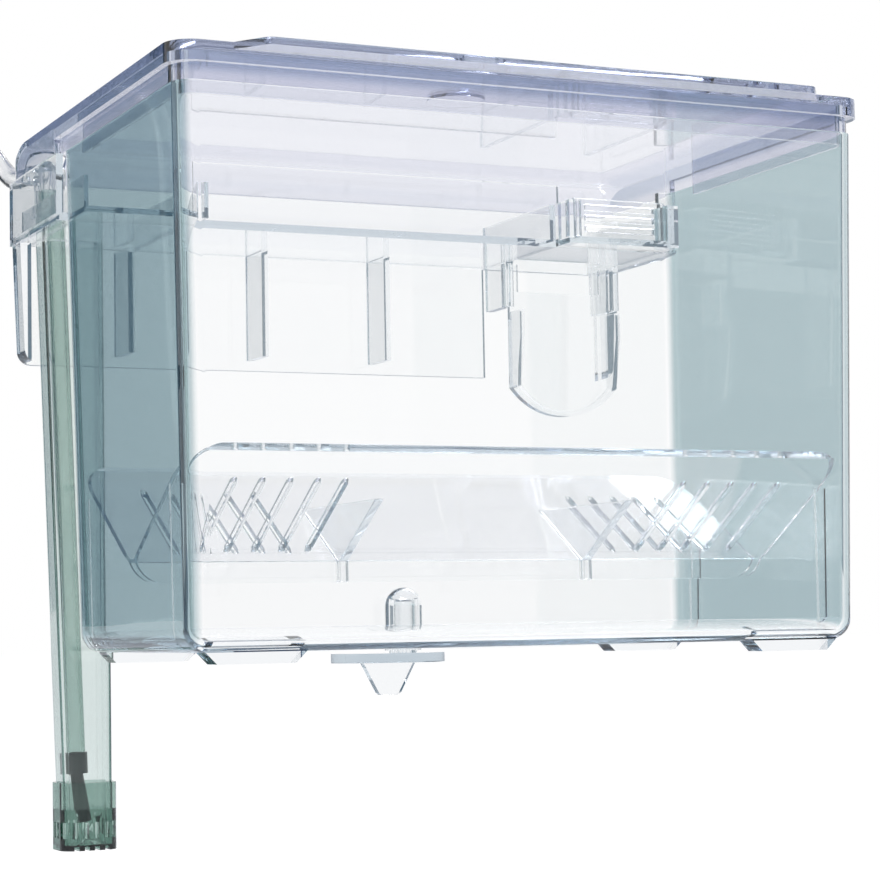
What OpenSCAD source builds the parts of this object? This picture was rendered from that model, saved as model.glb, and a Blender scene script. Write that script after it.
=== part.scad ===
// Hang-on fish breeding box with an air-driven water lift, in millimetres.
// The origin is in the middle of the hook's gap, at the underside of the bridge.
// +X is the box's right as seen from its front, +Y points to the tank, +Z is up.

/* [Water box] */
// Outer width of the box at its floor
box_w = 189.4; // [170:1:230]
// Outer depth of the box at its floor
box_d = 94.7; // [85:1:120]
// Height from the floor's underside to the rim
box_h = 137.7; // [120:1:170]
// Thickness of the box walls
wall = 2; // [1.6:0.1:2.4]
// Thickness of the floor
floor_t = 2.5; // [2:0.1:4]
// How far a wall leans out for each millimetre of height
draft = 0.02; // [0.01:0.002:0.024]
// Radius of the upright corners and of the floor's edge
corner_r = 5.5; // [4:0.5:8]
// Height of the pads under the floor
foot_h = 2.8; // [1.5:0.1:4]
// Length of a pad
foot_len = 26; // [18:1:32]

/* [Hanger] */
// Clear gap between the box and the ribs, for the tank's wall
hook_gap = 32.9; // [26:0.5:40]
// Height of the box's rim over the bridge's underside
rim_up = 18.7; // [16:0.5:24]
// Thickness of the bridge
bridge_t = 2.3; // [1.8:0.1:3]
// Depth of the ribs and of the well behind the tank's wall
well_d = 13.4; // [13.4:0.2:18]
// Thickness of the hanger's walls
hanger_t = 2; // [1.6:0.1:2.6]
// How far the rear apron hangs below the bridge
apron_drop = 35; // [25:1:50]
// How far the hanger and the lid's bead stand out past the box at the rim
overhang = 1.9; // [1.5:0.1:2.4]

/* [Lid] */
// Height of the lid over the rim
lid_h = 9.3; // [8:0.1:14]
// Thickness of the lid
lid_t = 1.8; // [1.4:0.1:2.4]
// Height of the bead round the top
bead_h = 5; // [3:0.5:7]
// Radius of the curved rear edge
nose_r = 17; // [12:0.5:20]
// How far the finger lip stands out in front
lip_out = 8.3; // [5:0.5:12]
// Length of the finger lip
lip_len = 169; // [110:1:175]
// How far the lid's locating flange reaches into the box
flange_h = 3; // [2:0.5:5]
// Radius of the round boss under the lid
lid_boss_r = 7.8; // [5:0.1:10]

/* [Fry tray] */
// Height of the tray's edge over the floor's underside
tray_h = 50.5; // [44:0.5:60]
// Height of the tray's valley over the floor's underside
valley_h = 24; // [20:0.5:28]
// Depth of the lips below the valley
stem_h = 6.4; // [3:0.1:8]
// Gap between the two lips
valley_gap = 3.2; // [2:0.1:5]
// Thickness of the panels
panel_t = 1.6; // [1.2:0.1:2]
// Clearance between the tray and the box
tray_clear = 1; // [0.6:0.1:1.6]
// Width of a slot
slot_w = 1.8; // [1:0.1:2.4]
// Spacing of the slots
slot_pitch = 7.4; // [6:0.1:8.2]
// Slots in each group
slot_count = 5; // [3:1:5]
// Distance of the gussets from the middle
gusset_x = 36.5; // [20:0.5:38]
// Height of the gussets over the valley
gusset_h = 15; // [8:0.5:18]
// Thickness of a gusset
gusset_t = 2.4; // [1.6:0.1:3.2]

/* [Water lift] */
// Outer width of the intake trough
trough_w = 33.9; // [30:0.5:38]
// Height of the trough's walls over the bridge's underside
trough_h = 10; // [7:0.5:14]
// How far the trough reaches into the box
trough_reach = 15; // [8:0.5:24]
// Wall of the trough and of the duct
duct_t = 1.2; // [1:0.1:1.6]
// Width of the duct at its head
duct_w = 19.5; // [18:0.1:20]
// Width of the duct at its foot
duct_foot_w = 14.1; // [13.6:0.1:15]
// Depth of the duct from front to back
duct_d = 13; // [12.6:0.1:13]
// Length of the duct below the bridge's underside
duct_len = 164; // [120:1:190]
// Outer width of the strainer cup
cup_w = 16.6; // [16.5:0.1:18]
// Height of the strainer cup
cup_h = 19.2; // [16:0.2:28]
// How far the duct goes into the cup
cup_grip = 7.6; // [5:0.2:8]
// Outer diameter of the air pipe
pipe_od = 5.8; // [5:0.1:5.8]
// Bore of the air pipe
pipe_id = 3.6; // [2.4:0.1:4]
// Outer diameter of the jet's tip
tip_od = 4; // [3:0.1:4.4]

/* [Airline] */
// Outer diameter of the hose
hose_od = 6; // [5:0.1:6]
// Spacing of the coil's turns
coil_pitch = 6.5; // [6.5:0.1:7]
// Radius of the coil's outermost turn
coil_r = 43.5; // [43.5:0.5:46]
// Diameter of the nipples
nipple_od = 4.2; // [3.8:0.1:4.6]
// Diameter of the check valve
valve_od = 14.5; // [12:0.1:16]

/* [Outlet] */
// Clear width of the outlet
outlet_w = 35; // [28:0.5:36]
// Distance of the outlet's middle from the box's right side
outlet_inset = 23.3; // [23:0.1:27]
// Height of the guard
guard_h = 12; // [9:0.5:13]
// Thickness of the guard
guard_t = 1.6; // [1.2:0.1:2]
// Number of gaps between the guard's bars
guard_gaps = 3; // [2:1:4]
// Length of the scoop below the bridge
scoop_h = 48.2; // [40:0.5:60]
// Depth of the scoop's flanges at the top
scoop_flange = 7; // [4:0.5:8]

/* [Leveller] */
// Radius of the turning disc
cam_r = 16.5; // [13:0.5:17]
// Distance of the disc's middle from its stem
cam_offset = 11; // [6:0.5:11.5]
// Thickness of the disc
cam_t = 2.7; // [2:0.1:3.5]
// Radius of the bore that holds the stem
stem_bore_r = 2.65; // [2:0.05:3]
// Radial running clearance of the stem
stem_clear = 0.05; // [0.03:0.01:0.1]
// Depth of the grip below the disc
grip_h = 9.4; // [6:0.1:14]

/* [Hidden] */
$fn = 48;
hull_fn = 32;
// Overlap of cutting solids past the faces that they cut
past = 1;
// Gap between pieces of different bodies that rest on each other
seat_gap = 0.3;
// Side clearance of pieces that slide into each other
fit = 0.2;
thin = 0.01;

// Levels and faces of the water box
floor_z = rim_up - box_h;
floor_top = floor_z + floor_t;
back_y = -hook_gap / 2;
box_cy = back_y + draft * floor_z - box_d / 2;
inner_r = corner_r - wall;
function outer_x(z) = box_w / 2 + draft * (z - floor_z);
function inner_x(z) = outer_x(z) - wall;
function outer_y(z) = box_d / 2 + draft * (z - floor_z);
function inner_y(z) = outer_y(z) - wall;

// Hanger
hang_x = outer_x(rim_up) + overhang;
rib_y = hook_gap / 2;
apron_in_y = rib_y + well_d;
rear_y = apron_in_y + hanger_t;
apron_lean = 0.02;
return_d = 6.8;
rib_t = 2;
rib_xs = [for (share = [-0.348, -0.137, 0.074]) share * box_w];
rib_rise = 3;

// Lid
lid_top = rim_up + lid_h;
lid_front_y = box_cy - outer_y(rim_up) - overhang;
nose_y = rear_y - nose_r;
nose_z = lid_top - nose_r;
lid_boss_x = -0.051 * box_w;
lid_boss_y = box_cy - 0.204 * box_d;
lid_boss_t = 0.8;
lip_slant = 7;

// Fry tray
tray_top = floor_z + tray_h;
valley_z = floor_z + valley_h;
stem_z = valley_z - stem_h;
tray_hd = inner_y(tray_top) - tray_clear - 0.5;
tray_hw = inner_x(stem_z) - tray_clear / 2;
slope = (tray_top - valley_z) / (tray_hd - valley_gap / 2);
panel_dz = panel_t * sqrt(1 + slope * slope);
function panel_z(y) = valley_z + slope * (y - valley_gap / 2);
rail_t = 1.3;
rail_out = 2.2;
rail_y = tray_hd - 11;
slot_to_edge = 12;
slot_to_valley = 6;
slot_to_gusset = 11.3;

// Intake and duct
trough_left = -(inner_x(0) - 0.5);
trough_right = trough_left + trough_w;
trough_floor = 1.6;
duct_right = trough_left + duct_t + 0.4 + duct_w;
duct_cy = apron_in_y - fit - duct_d / 2;
duct_r = 3.4;
duct_lean = (duct_w - duct_foot_w) / duct_len;
cup_cx = duct_right - duct_foot_w / 2;
cup_bottom = -duct_len + cup_grip - cup_h;
cup_t = (cup_w - duct_foot_w) / 2 - fit;

// Air pipe, leaning with the duct's left wall
pipe_gap = 0.7;
pipe_x = duct_right - duct_w + duct_t + pipe_gap + pipe_od / 2;
pipe_angle = atan(duct_lean);
jet_up = 13;
pipe_foot = jet_up - duct_len;
jet_collar_h = 6;
jet_collar_od = pipe_od + 1.1;
tip_len = 14;
tip_angle = -8;
elbow_z = 20.5;
elbow_od = 8;
elbow_shoulder = 5;
socket_h = 9;
socket_skirt = 4;
nipple_len = 5;
nipple_dir = unit([-0.34, 0.93, 0.1]);
elbow_at = [pipe_x - elbow_z * tan(pipe_angle), duct_cy, elbow_z];
hose_slot_w = 10;
hose_notch = 1.6;
hose_slot_x = elbow_at[0] - 1;

// Outlet
outlet_x = outer_x(0) - outlet_inset;
outlet_lo = outlet_x - outlet_w / 2;
outlet_hi = outlet_x + outlet_w / 2;
channel_t = 2.5;
channel_h = 13;
chute_y = rib_y - scoop_flange - 0.5;
guard_y = back_y - 7.5;
post_w = 4;
post_d = 11;
groove = 1.2;
rail_drop = 14;
scoop_t = 1.5;
scoop_hw = outlet_w / 2 + 0.2;

// Leveller
stem_to_wall = 3.35;
stem_y = box_cy + inner_y(floor_z) - stem_to_wall;
stem_r = stem_bore_r - stem_clear;
boss_r = 5.25;
boss_h = 16.7;
boss_top = floor_z + boss_h;
stem_top = boss_top - boss_r + 1;
collar_h = 1.7;
cam_top = floor_z - seat_gap - collar_h;

// Coil: it spirals in on one layer, climbs, and spirals out on the next
coil_turns = 3;
coil_steps = 24;
coil_x1 = -138.5;
coil_x2 = coil_x1 - coil_pitch;
coil_cy = -28.5;
coil_cz = -47.7;
hose_y = coil_cy + coil_r;
function unit(v) = v / norm(v);
function coil_radius(u) = coil_r - coil_pitch * (u < coil_turns ? u : 2 * coil_turns - u);
function coil_climb(u) = max(0, min(1, 2 * (u - coil_turns) + 0.5));
function coil_x(u) = coil_x1 - coil_pitch * (1 - cos(180 * coil_climb(u))) / 2;
function coil_out(u) = [0, cos(360 * u), -sin(360 * u)];
function coil_point(u) = [coil_x(u), coil_cy, coil_cz] + coil_radius(u) * coil_out(u);
coil_us = [for (k = [0:2 * coil_turns * coil_steps]) k / coil_steps];
coil_tail = 30;
coil_start = coil_point(0) + [0, 0, hose_od];
coil_end = coil_point(2 * coil_turns) - [0, 0, coil_tail];
coil_points = concat([coil_start], [for (u = coil_us) coil_point(u)], [coil_end]);
coil_outs = concat([coil_out(0)], [for (u = coil_us) coil_out(u)], [coil_out(0)]);

// Check valve below the coil
valve_rim_h = 5;
valve_cone_h = 3;
valve_neck_h = 5;
flap_t = 0.8;
valve_top_rim = coil_end - [0, 0, valve_rim_h + valve_cone_h + valve_neck_h];

// The hose's free stretch, from the elbow's shoulder over an arch and down to the coil
hose_root = elbow_at + elbow_shoulder * nipple_dir;
hose_route = concat([hose_root], [
    [-92.4, 33, 21.6], [-94.4, 41.7, 21.9], [-95.6, 49.6, 25.3], [-97.6, 56, 31.3],
    [-101.7, 60.1, 37.9], [-107.6, 61.5, 44.5], [-114.4, 60.2, 50], [-121.4, 56.1, 53.7],
    [-127.7, 50, 55.2], [-132.6, 42.7, 54.1], [-135.7, 35.2, 50.6], [-137.5, 28.2, 45.5],
    [coil_x1 + 0.2, 22.3, 39], [coil_x1, 17.7, 31.4], [coil_x1, hose_y, 23],
    [coil_x1, hose_y, 14], [coil_x1, hose_y, -8], [coil_x1, hose_y, -32], coil_start
]);

function path_length(points) =
    len(points) < 2 ? 0 : [for (k = [1:len(points) - 1]) norm(points[k] - points[k - 1])]
        * [for (k = [1:len(points) - 1]) 1];
function coil_gap(points) = min([
    for (i = [0:len(points) - 1])
        for (j = [i + coil_steps / 2:1:len(points) - 1])
            norm(points[i] - points[j])
]) - hose_od;
echo(hose_length = path_length(hose_route) + path_length(coil_points));
echo(coil_least_gap = coil_gap(coil_points));

// A solid whose walls lean out from the floor's level, with a rounded lower edge
module leaning_block(w, d, z_low, z_high, r) {
    hull() {
        for (sx = [-1, 1], sy = [-1, 1]) {
            low = draft * (z_low + r - floor_z);
            high = draft * (z_high - floor_z);
            translate([sx * (w / 2 + low - r), box_cy + sy * (d / 2 + low - r), z_low + r])
                sphere(r, $fn = hull_fn);
            translate([sx * (w / 2 + high - r), box_cy + sy * (d / 2 + high - r), z_high - thin])
                cylinder(r = r, h = thin, $fn = hull_fn);
        }
    }
}

module outer_block() {
    leaning_block(box_w, box_d, floor_z, rim_up, corner_r);
}

module inner_block() {
    leaning_block(box_w - 2 * wall, box_d - 2 * wall, floor_top, rim_up + past, inner_r);
}

// A box given by its low and high corners
module block(low, high) {
    translate(low) cube(high - low);
}

// A rectangle with round corners, centred
module round_rect(w, d, r) {
    square([w - 2 * r, d], center = true);
    square([w, d - 2 * r], center = true);
    for (sx = [-1, 1], sy = [-1, 1])
        translate([sx * (w / 2 - r), sy * (d / 2 - r)]) circle(r);
}

// Places a profile drawn in Y and Z so that it runs along X
module along_x(x_low, x_high) {
    translate([x_low, 0, 0]) rotate([90, 0, 90]) linear_extrude(x_high - x_low) children();
}

// Places a profile drawn in X and Z so that it runs along Y
module along_y(y_low, y_high) {
    translate([0, y_high, 0]) rotate([90, 0, 0]) linear_extrude(y_high - y_low) children();
}

// A tube through ring centres, with the two axes of each ring
module swept_tube(centres, u_axes, v_axes, r, sides) {
    last = (len(centres) - 1) * sides;
    rings = [
        for (k = [0:len(centres) - 1]) for (s = [0:sides - 1])
            centres[k] + r * (cos(360 * s / sides) * u_axes[k] + sin(360 * s / sides) * v_axes[k])
    ];
    walls = [
        for (k = [0:len(centres) - 2]) for (s = [0:sides - 1])
            let (i = k * sides + s, j = k * sides + (s + 1) % sides)
                each [[i, j + sides, j], [i, i + sides, j + sides]]
    ];
    near_cap = [for (s = [1:sides - 2]) [0, s, s + 1]];
    far_cap = [for (s = [1:sides - 2]) [last, last + s + 1, last + s]];
    polyhedron(rings, concat(walls, near_cap, far_cap));
}

// Rails for the tray, on the side walls
module tray_rails() {
    for (sx = [-1, 1], sy = [-1, 1]) {
        top = panel_z(rail_y - rail_t / 2) - panel_dz - seat_gap;
        y = box_cy + sy * rail_y;
        x = inner_x(floor_z) - rail_out;
        x_wall = outer_x(floor_z) - wall / 2;
        block(
            [sx > 0 ? x : -x_wall, y - rail_t / 2, floor_top - thin],
            [sx > 0 ? x_wall : -x, y + rail_t / 2, top]
        );
    }
}

// Four shallow pads with slanting ends
module feet() {
    foot_w = 7;
    foot_edge = 5;
    foot_x = box_w / 2 - foot_len / 2 - foot_edge;
    foot_y = box_d / 2 - foot_w;
    for (sx = [-1, 1], sy = [-1, 1])
        translate([sx * foot_x, box_cy + sy * foot_y, 0])
            along_y(-foot_w / 2, foot_w / 2)
                polygon([
                    [-foot_len / 2 - 1, floor_z + 1], [foot_len / 2 + 1, floor_z + 1],
                    [foot_len / 2 - foot_h, floor_z - foot_h],
                    [-foot_len / 2 + foot_h, floor_z - foot_h]
                ]);
}

// Grooved posts beside the outlet, which hold the guard
module guard_posts() {
    for (side = [-1, 1]) {
        edge = outlet_x + side * (outlet_w / 2 - post_w / 2 + channel_t / 2);
        difference() {
            block(
                [edge - post_w / 2, back_y - post_d, 0],
                [edge + post_w / 2, back_y - wall / 2, channel_h]
            );
            block(
                [edge - side * (post_w / 2) - groove, guard_y - guard_t / 2 - fit, bridge_t],
                [edge - side * (post_w / 2) + groove, guard_y + guard_t / 2 + fit,
                    channel_h + past]
            );
        }
    }
    block(
        [outlet_lo, back_y - post_d, 0],
        [outlet_hi, back_y - wall / 2, bridge_t - seat_gap]
    );
}

module stem_boss() {
    translate([0, stem_y, floor_z + 1]) cylinder(r = boss_r, h = boss_top - boss_r - floor_z - 1);
    translate([0, stem_y, boss_top - boss_r]) sphere(boss_r);
}

module box_shell() {
    color([0.78, 0.84, 0.94, 0.45])
    difference() {
        union() {
            difference() {
                outer_block();
                inner_block();
            }
            tray_rails();
            feet();
            guard_posts();
            stem_boss();
        }
        translate([0, stem_y, floor_z - past])
            cylinder(r = stem_bore_r, h = stem_top + 0.4 - floor_z + past);
        block(
            [trough_left, back_y - wall - inner_r, 0],
            [trough_right, back_y + past, rim_up + past]
        );
        block(
            [outlet_lo, back_y - wall - past, bridge_t],
            [outlet_hi, back_y + past, rim_up + past]
        );
    }
}

// The hanger's outline seen from behind, leaning in towards its lower edge
module apron_outline() {
    low_x = hang_x - apron_lean * (rim_up + apron_drop) - 1;
    r = 4;
    polygon([
        [-hang_x, rim_up], [-low_x, r - apron_drop], [-low_x + r, r - apron_drop],
        [-low_x + r, -apron_drop], [low_x - r, -apron_drop],
        [low_x - r, r - apron_drop], [low_x, r - apron_drop], [hang_x, rim_up]
    ]);
    for (sx = [-1, 1]) translate([sx * (low_x - r), r - apron_drop]) circle(r);
}

module hanger_saddle() {
    color([0.8, 0.86, 0.93, 0.45])
    difference() {
        union() {
            // Bridge over the tank's rim
            block([-hang_x + hanger_t / 2, back_y - 1, 0], [hang_x - hanger_t / 2, rear_y, bridge_t]);
            // Rear apron, with a return along each side
            along_y(apron_in_y, rear_y) apron_outline();
            intersection() {
                along_y(apron_in_y - return_d, rear_y) apron_outline();
                union() {
                    for (sx = [-1, 1]) {
                        inside = hang_x - hanger_t - 2;
                        block(
                            [sx > 0 ? inside : -hang_x, apron_in_y - return_d, -apron_drop],
                            [sx > 0 ? hang_x : -inside, rear_y, thin]
                        );
                    }
                }
            }
            // Side cheeks above the bridge
            for (sx = [-1, 1])
                block(
                    [sx > 0 ? hang_x - hanger_t : -hang_x, back_y - 1, 0],
                    [sx > 0 ? hang_x : -hang_x + hanger_t, rear_y - thin, rim_up]
                );
            // Ribs that bear on the tank's wall
            for (x = rib_xs)
                block(
                    [x - rib_t / 2, rib_y, rib_rise - apron_drop],
                    [x + rib_t / 2, rear_y - hanger_t / 2, thin]
                );
            // Outlet channel and the rails of the scoop
            for (side = [-1, 1]) {
                x = outlet_x + side * (outlet_w / 2 + channel_t / 2);
                block(
                    [x - channel_t / 2, back_y - 1, 0],
                    [x + channel_t / 2, apron_in_y + 0.5, channel_h]
                );
                block(
                    [x - channel_t / 2, rib_y - channel_t, -rail_drop],
                    [x + channel_t / 2, apron_in_y + 0.5, thin]
                );
            }
        }
        outer_block();
        // Seat of the intake trough
        block(
            [trough_left, back_y - past - 1, -past],
            [trough_right, apron_in_y, rim_up + past]
        );
        // Way for the water behind the tank's wall
        block([outlet_lo, chute_y, -past], [outlet_hi, apron_in_y, bridge_t + past]);
        // Place of the scoop in the apron and grooves for its edges
        block(
            [outlet_lo - channel_t - fit, apron_in_y - past, -apron_drop - past],
            [outlet_hi + channel_t + fit, rear_y + past, -fit]
        );
        block(
            [outlet_x - scoop_hw - groove, rib_y - fit, -rail_drop - past],
            [outlet_x + scoop_hw + groove, rib_y + scoop_t + fit, -fit]
        );
        // Notch under the hose
        block(
            [hose_slot_x - hose_slot_w / 2, apron_in_y - past, rim_up - hose_notch],
            [hose_slot_x + hose_slot_w / 2, rear_y + past, rim_up + past]
        );
    }
}

// Solid with a flat top, round plan corners and a curved rear edge
module lid_form(hw, y_front, inset, z_low) {
    y_back = rear_y - inset;
    top = lid_top - inset;
    r_nose = nose_r - inset;
    r_plan = corner_r + overhang - inset;
    intersection() {
        along_x(-hw, hw) {
            block_2d([y_front, z_low], [nose_y, top]);
            block_2d([nose_y - past, z_low], [y_back, nose_z]);
            translate([nose_y, nose_z]) circle(r_nose, $fn = 96);
        }
        translate([0, (y_front + y_back) / 2, z_low - past])
            linear_extrude(top - z_low + 2 * past)
                round_rect(2 * hw, y_back - y_front, r_plan);
    }
}

module block_2d(low, high) {
    translate(low) square(high - low);
}

module lid() {
    skirt_x = outer_x(rim_up) + 0.1;
    skirt_y = box_cy - outer_y(rim_up) - 0.1;
    flange_x = inner_x(rim_up) - seat_gap;
    flange_y = inner_y(rim_up) - seat_gap;
    flange_t = 1.2;
    flange_gap = 4.5;
    rest = rim_up + 0.05;
    color([0.72, 0.76, 0.9, 0.5])
    difference() {
        union() {
            intersection() {
                union() {
                    lid_form(skirt_x, skirt_y, 0, nose_z - past);
                    intersection() {
                        lid_form(hang_x, lid_front_y, 0, nose_z - past);
                        union() {
                            block(
                                [-hang_x - past, lid_front_y - past, lid_top - bead_h],
                                [hang_x + past, rear_y + past, lid_top + past]
                            );
                            block(
                                [-hang_x - past, back_y + fit, rest],
                                [hang_x + past, rear_y + past, lid_top + past]
                            );
                        }
                    }
                }
                block(
                    [-hang_x - past, lid_front_y - past, rest],
                    [hang_x + past, rear_y + past, lid_top + past]
                );
            }
            // Finger lip
            translate([0, lid_front_y + 1, lid_top - lid_t])
                linear_extrude(lid_t)
                    polygon([
                        [-lip_len / 2, 0], [lip_slant - lip_len / 2, -lip_out - 1],
                        [lip_len / 2 - lip_slant, -lip_out - 1], [lip_len / 2, 0]
                    ]);
        }
        lid_form(skirt_x - lid_t, skirt_y + lid_t, lid_t, nose_z - 2 * past);
        intersection() {
            lid_form(hang_x - lid_t, lid_front_y, lid_t, nose_z - 2 * past);
            block(
                [-hang_x, back_y + fit + lid_t, 0],
                [hang_x, rear_y, lid_top - lid_t]
            );
        }
        // Slot for the hose, open below
        slot_front = duct_cy - elbow_od / 2 - 1;
        translate([hose_slot_x, slot_front + hose_slot_w / 2, 0])
            cylinder(d = hose_slot_w, h = lid_top + past);
        block(
            [hose_slot_x - hose_slot_w / 2, slot_front + hose_slot_w / 2, 0],
            [hose_slot_x + hose_slot_w / 2, rear_y + past, lid_top + past]
        );
    }
    color([0.72, 0.76, 0.9, 0.5]) {
        // Locating flange inside the rim, left out at the two channels
        difference() {
            translate([0, box_cy, rim_up - flange_h])
                linear_extrude(flange_h + lid_h - lid_t / 2)
                    difference() {
                        round_rect(2 * flange_x, 2 * flange_y, inner_r);
                        round_rect(
                            2 * (flange_x - flange_t), 2 * (flange_y - flange_t),
                            inner_r - flange_t
                        );
                    }
            block(
                [-hang_x, guard_y - corner_r - flange_gap, 0],
                [hang_x, rear_y, lid_top]
            );
        }
        // Shallow round boss under the top
        translate([lid_boss_x, lid_boss_y, lid_top - lid_t - lid_boss_t])
            cylinder(r = lid_boss_r, h = lid_t);
    }
}

// One slope of the tray as seen from the side, for the rear half
module panel_profile() {
    polygon([
        [tray_hd, tray_top], [valley_gap / 2, valley_z], [valley_gap / 2, stem_z],
        [valley_gap / 2 + panel_t, stem_z],
        [valley_gap / 2 + panel_t, valley_z + slope * panel_t - panel_dz],
        [tray_hd, tray_top - panel_dz]
    ]);
}

// Plan outline of one slot
module slot_outline() {
    slot_far = tray_hd - slot_to_edge;
    slot_near = valley_gap / 2 + slot_to_valley;
    block_2d([-slot_w / 2, slot_near], [slot_w / 2, slot_far]);
    translate([0, slot_near]) circle(slot_w / 2, $fn = 24);
    translate([0, slot_far]) circle(slot_w / 2, $fn = 24);
}

module tray_panel(turn) {
    top_r = 8;
    first_slot = gusset_x + gusset_t / 2 + slot_to_gusset;
    translate([0, box_cy, 0]) rotate([0, 0, turn])
    difference() {
        intersection() {
            along_x(-tray_hw, tray_hw) panel_profile();
            translate([0, 0, (tray_top + stem_z) / 2])
                along_y(-past, tray_hd + past)
                    round_rect(2 * tray_hw, tray_top - stem_z, top_r);
        }
        for (side = [-1, 1], k = [0:slot_count - 1])
            translate([side * (first_slot + k * slot_pitch), 0, stem_z])
                linear_extrude(tray_top - stem_z) slot_outline();
    }
}

module tray_front_panel() {
    color([0.82, 0.88, 0.92, 0.5]) tray_panel(180);
}

module tray_rear_panel() {
    color([0.82, 0.88, 0.92, 0.5]) tray_panel(0);
}

// Triangular plate that joins the slopes and closes the gap between the lips
module tray_gusset(side) {
    reach = valley_gap / 2 + gusset_h / slope;
    top = valley_z + gusset_h;
    translate([side * gusset_x, box_cy, 0])
        along_x(-gusset_t / 2, gusset_t / 2)
            polygon([
                [-reach, top], [-valley_gap / 2, valley_z], [-valley_gap / 2, stem_z],
                [valley_gap / 2, stem_z], [valley_gap / 2, valley_z], [reach, top]
            ]);
}

module tray_gusset_left() {
    color([0.7, 0.78, 0.86, 0.5]) tray_gusset(-1);
}

module tray_gusset_right() {
    color([0.7, 0.78, 0.86, 0.5]) tray_gusset(1);
}

// Outline of the duct at a given width, its right side staying in place
module duct_outline(w, d, r) {
    translate([duct_right - w / 2, duct_cy]) round_rect(w, d, r);
}

module intake_trough() {
    front = back_y - wall - trough_reach;
    color([0.8, 0.88, 0.9, 0.5])
    difference() {
        block([trough_left, front, 0], [trough_right, apron_in_y, trough_h]);
        block(
            [trough_left + duct_t, front - past, trough_floor],
            [trough_right - duct_t, apron_in_y - duct_t, trough_h + past]
        );
        translate([0, 0, -past])
            linear_extrude(trough_floor + 2 * past)
                duct_outline(duct_w + 0.2, duct_d + 0.2, duct_r + 0.1);
        // Relief where the rear wall meets the duct
        block(
            [trough_left + duct_t, apron_in_y - duct_t - past, trough_floor],
            [duct_right + 1, apron_in_y - 0.4, trough_h + past]
        );
    }
}

// The tapered form of the duct, less an inset all round
module duct_form(inset, z_low, z_high) {
    head_w = duct_w + duct_lean * z_high - 2 * inset;
    foot_w = duct_w + duct_lean * z_low - 2 * inset;
    r = duct_r - inset;
    d = duct_d - 2 * inset;
    hull() {
        for (sx = [-1, 1], sy = [-1, 1]) {
            x_head = duct_right - inset - head_w / 2 + sx * (head_w / 2 - r);
            x_foot = duct_right - inset - foot_w / 2 + sx * (foot_w / 2 - r);
            translate([x_head, duct_cy + sy * (d / 2 - r), z_high - thin])
                cylinder(r = r, h = thin, $fn = hull_fn);
            translate([x_foot, duct_cy + sy * (d / 2 - r), z_low])
                cylinder(r = r, h = thin, $fn = hull_fn);
        }
    }
}

module uptake_duct() {
    color([0.66, 0.76, 0.74, 0.5])
    difference() {
        duct_form(0, -duct_len, 0);
        duct_form(duct_t, -duct_len - past, past);
    }
}

module strainer_cup() {
    r = 4.4;
    base_t = 1.5;
    slit_z = 3.4;
    slit_h = 4.6;
    slots = 4;
    slot_gap = 3;
    slit = 1.2;
    notch = 1.4;
    notch_h = 1.2;
    bore_less = 1.6;
    color([0.32, 0.45, 0.44, 0.7])
    translate([cup_cx, duct_cy, cup_bottom])
    difference() {
        linear_extrude(cup_h) round_rect(cup_w, duct_d + cup_w - duct_foot_w, r);
        translate([0, 0, base_t])
            linear_extrude(cup_h)
                round_rect(
                    duct_foot_w - bore_less, duct_d - bore_less,
                    r - cup_t - bore_less / 2
                );
        translate([0, 0, cup_h - cup_grip])
            linear_extrude(cup_h)
                round_rect(duct_foot_w + 2 * fit + 0.3, duct_d + 2 * fit, r - cup_t);
        for (k = [0:slots - 1]) {
            offset_x = (k - (slots - 1) / 2) * slot_gap;
            block(
                [offset_x - slit / 2, -cup_w, slit_z],
                [offset_x + slit / 2, cup_w, slit_z + slit_h]
            );
            block(
                [-cup_w, offset_x - slit / 2, slit_z],
                [cup_w, offset_x + slit / 2, slit_z + slit_h]
            );
            block([offset_x - notch / 2, -cup_w, -past], [offset_x + notch / 2, cup_w, notch_h]);
        }
    }
}

// Places a part on the leaning axis of the air pipe
module on_pipe() {
    translate([pipe_x, duct_cy, 0]) rotate([0, -pipe_angle, 0]) children();
}

module air_pipe() {
    color([0.72, 0.84, 0.82, 0.6])
    on_pipe()
    translate([0, 0, pipe_foot])
    difference() {
        cylinder(d = pipe_od, h = elbow_z - elbow_od / 2 - 1 - pipe_foot);
        translate([0, 0, -past]) cylinder(d = pipe_id, h = elbow_z - pipe_foot);
    }
}

// Collar round the pipe's foot and the thin tip below it
module air_jet() {
    color([0.2, 0.32, 0.3])
    on_pipe()
    translate([0, 0, pipe_foot]) {
        difference() {
            translate([0, 0, -jet_collar_h / 2]) cylinder(d = jet_collar_od, h = jet_collar_h);
            cylinder(d = pipe_od + 0.02, h = jet_collar_h);
            translate([0, 0, -jet_collar_h]) cylinder(d = pipe_id, h = 2 * jet_collar_h);
        }
        translate([0, 0, -jet_collar_h / 2]) rotate([0, tip_angle, 0])
        difference() {
            translate([0, 0, -tip_len]) cylinder(d = tip_od, h = tip_len);
            translate([0, 0, -tip_len - past]) cylinder(d = tip_od / 2, h = tip_len + 2 * past);
        }
    }
}

// Places a part on the axis of the elbow's nipple
module on_nipple() {
    tilt = acos(nipple_dir[2]);
    turn = atan2(nipple_dir[1], nipple_dir[0]);
    translate(elbow_at) rotate([0, tilt, turn]) children();
}

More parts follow.
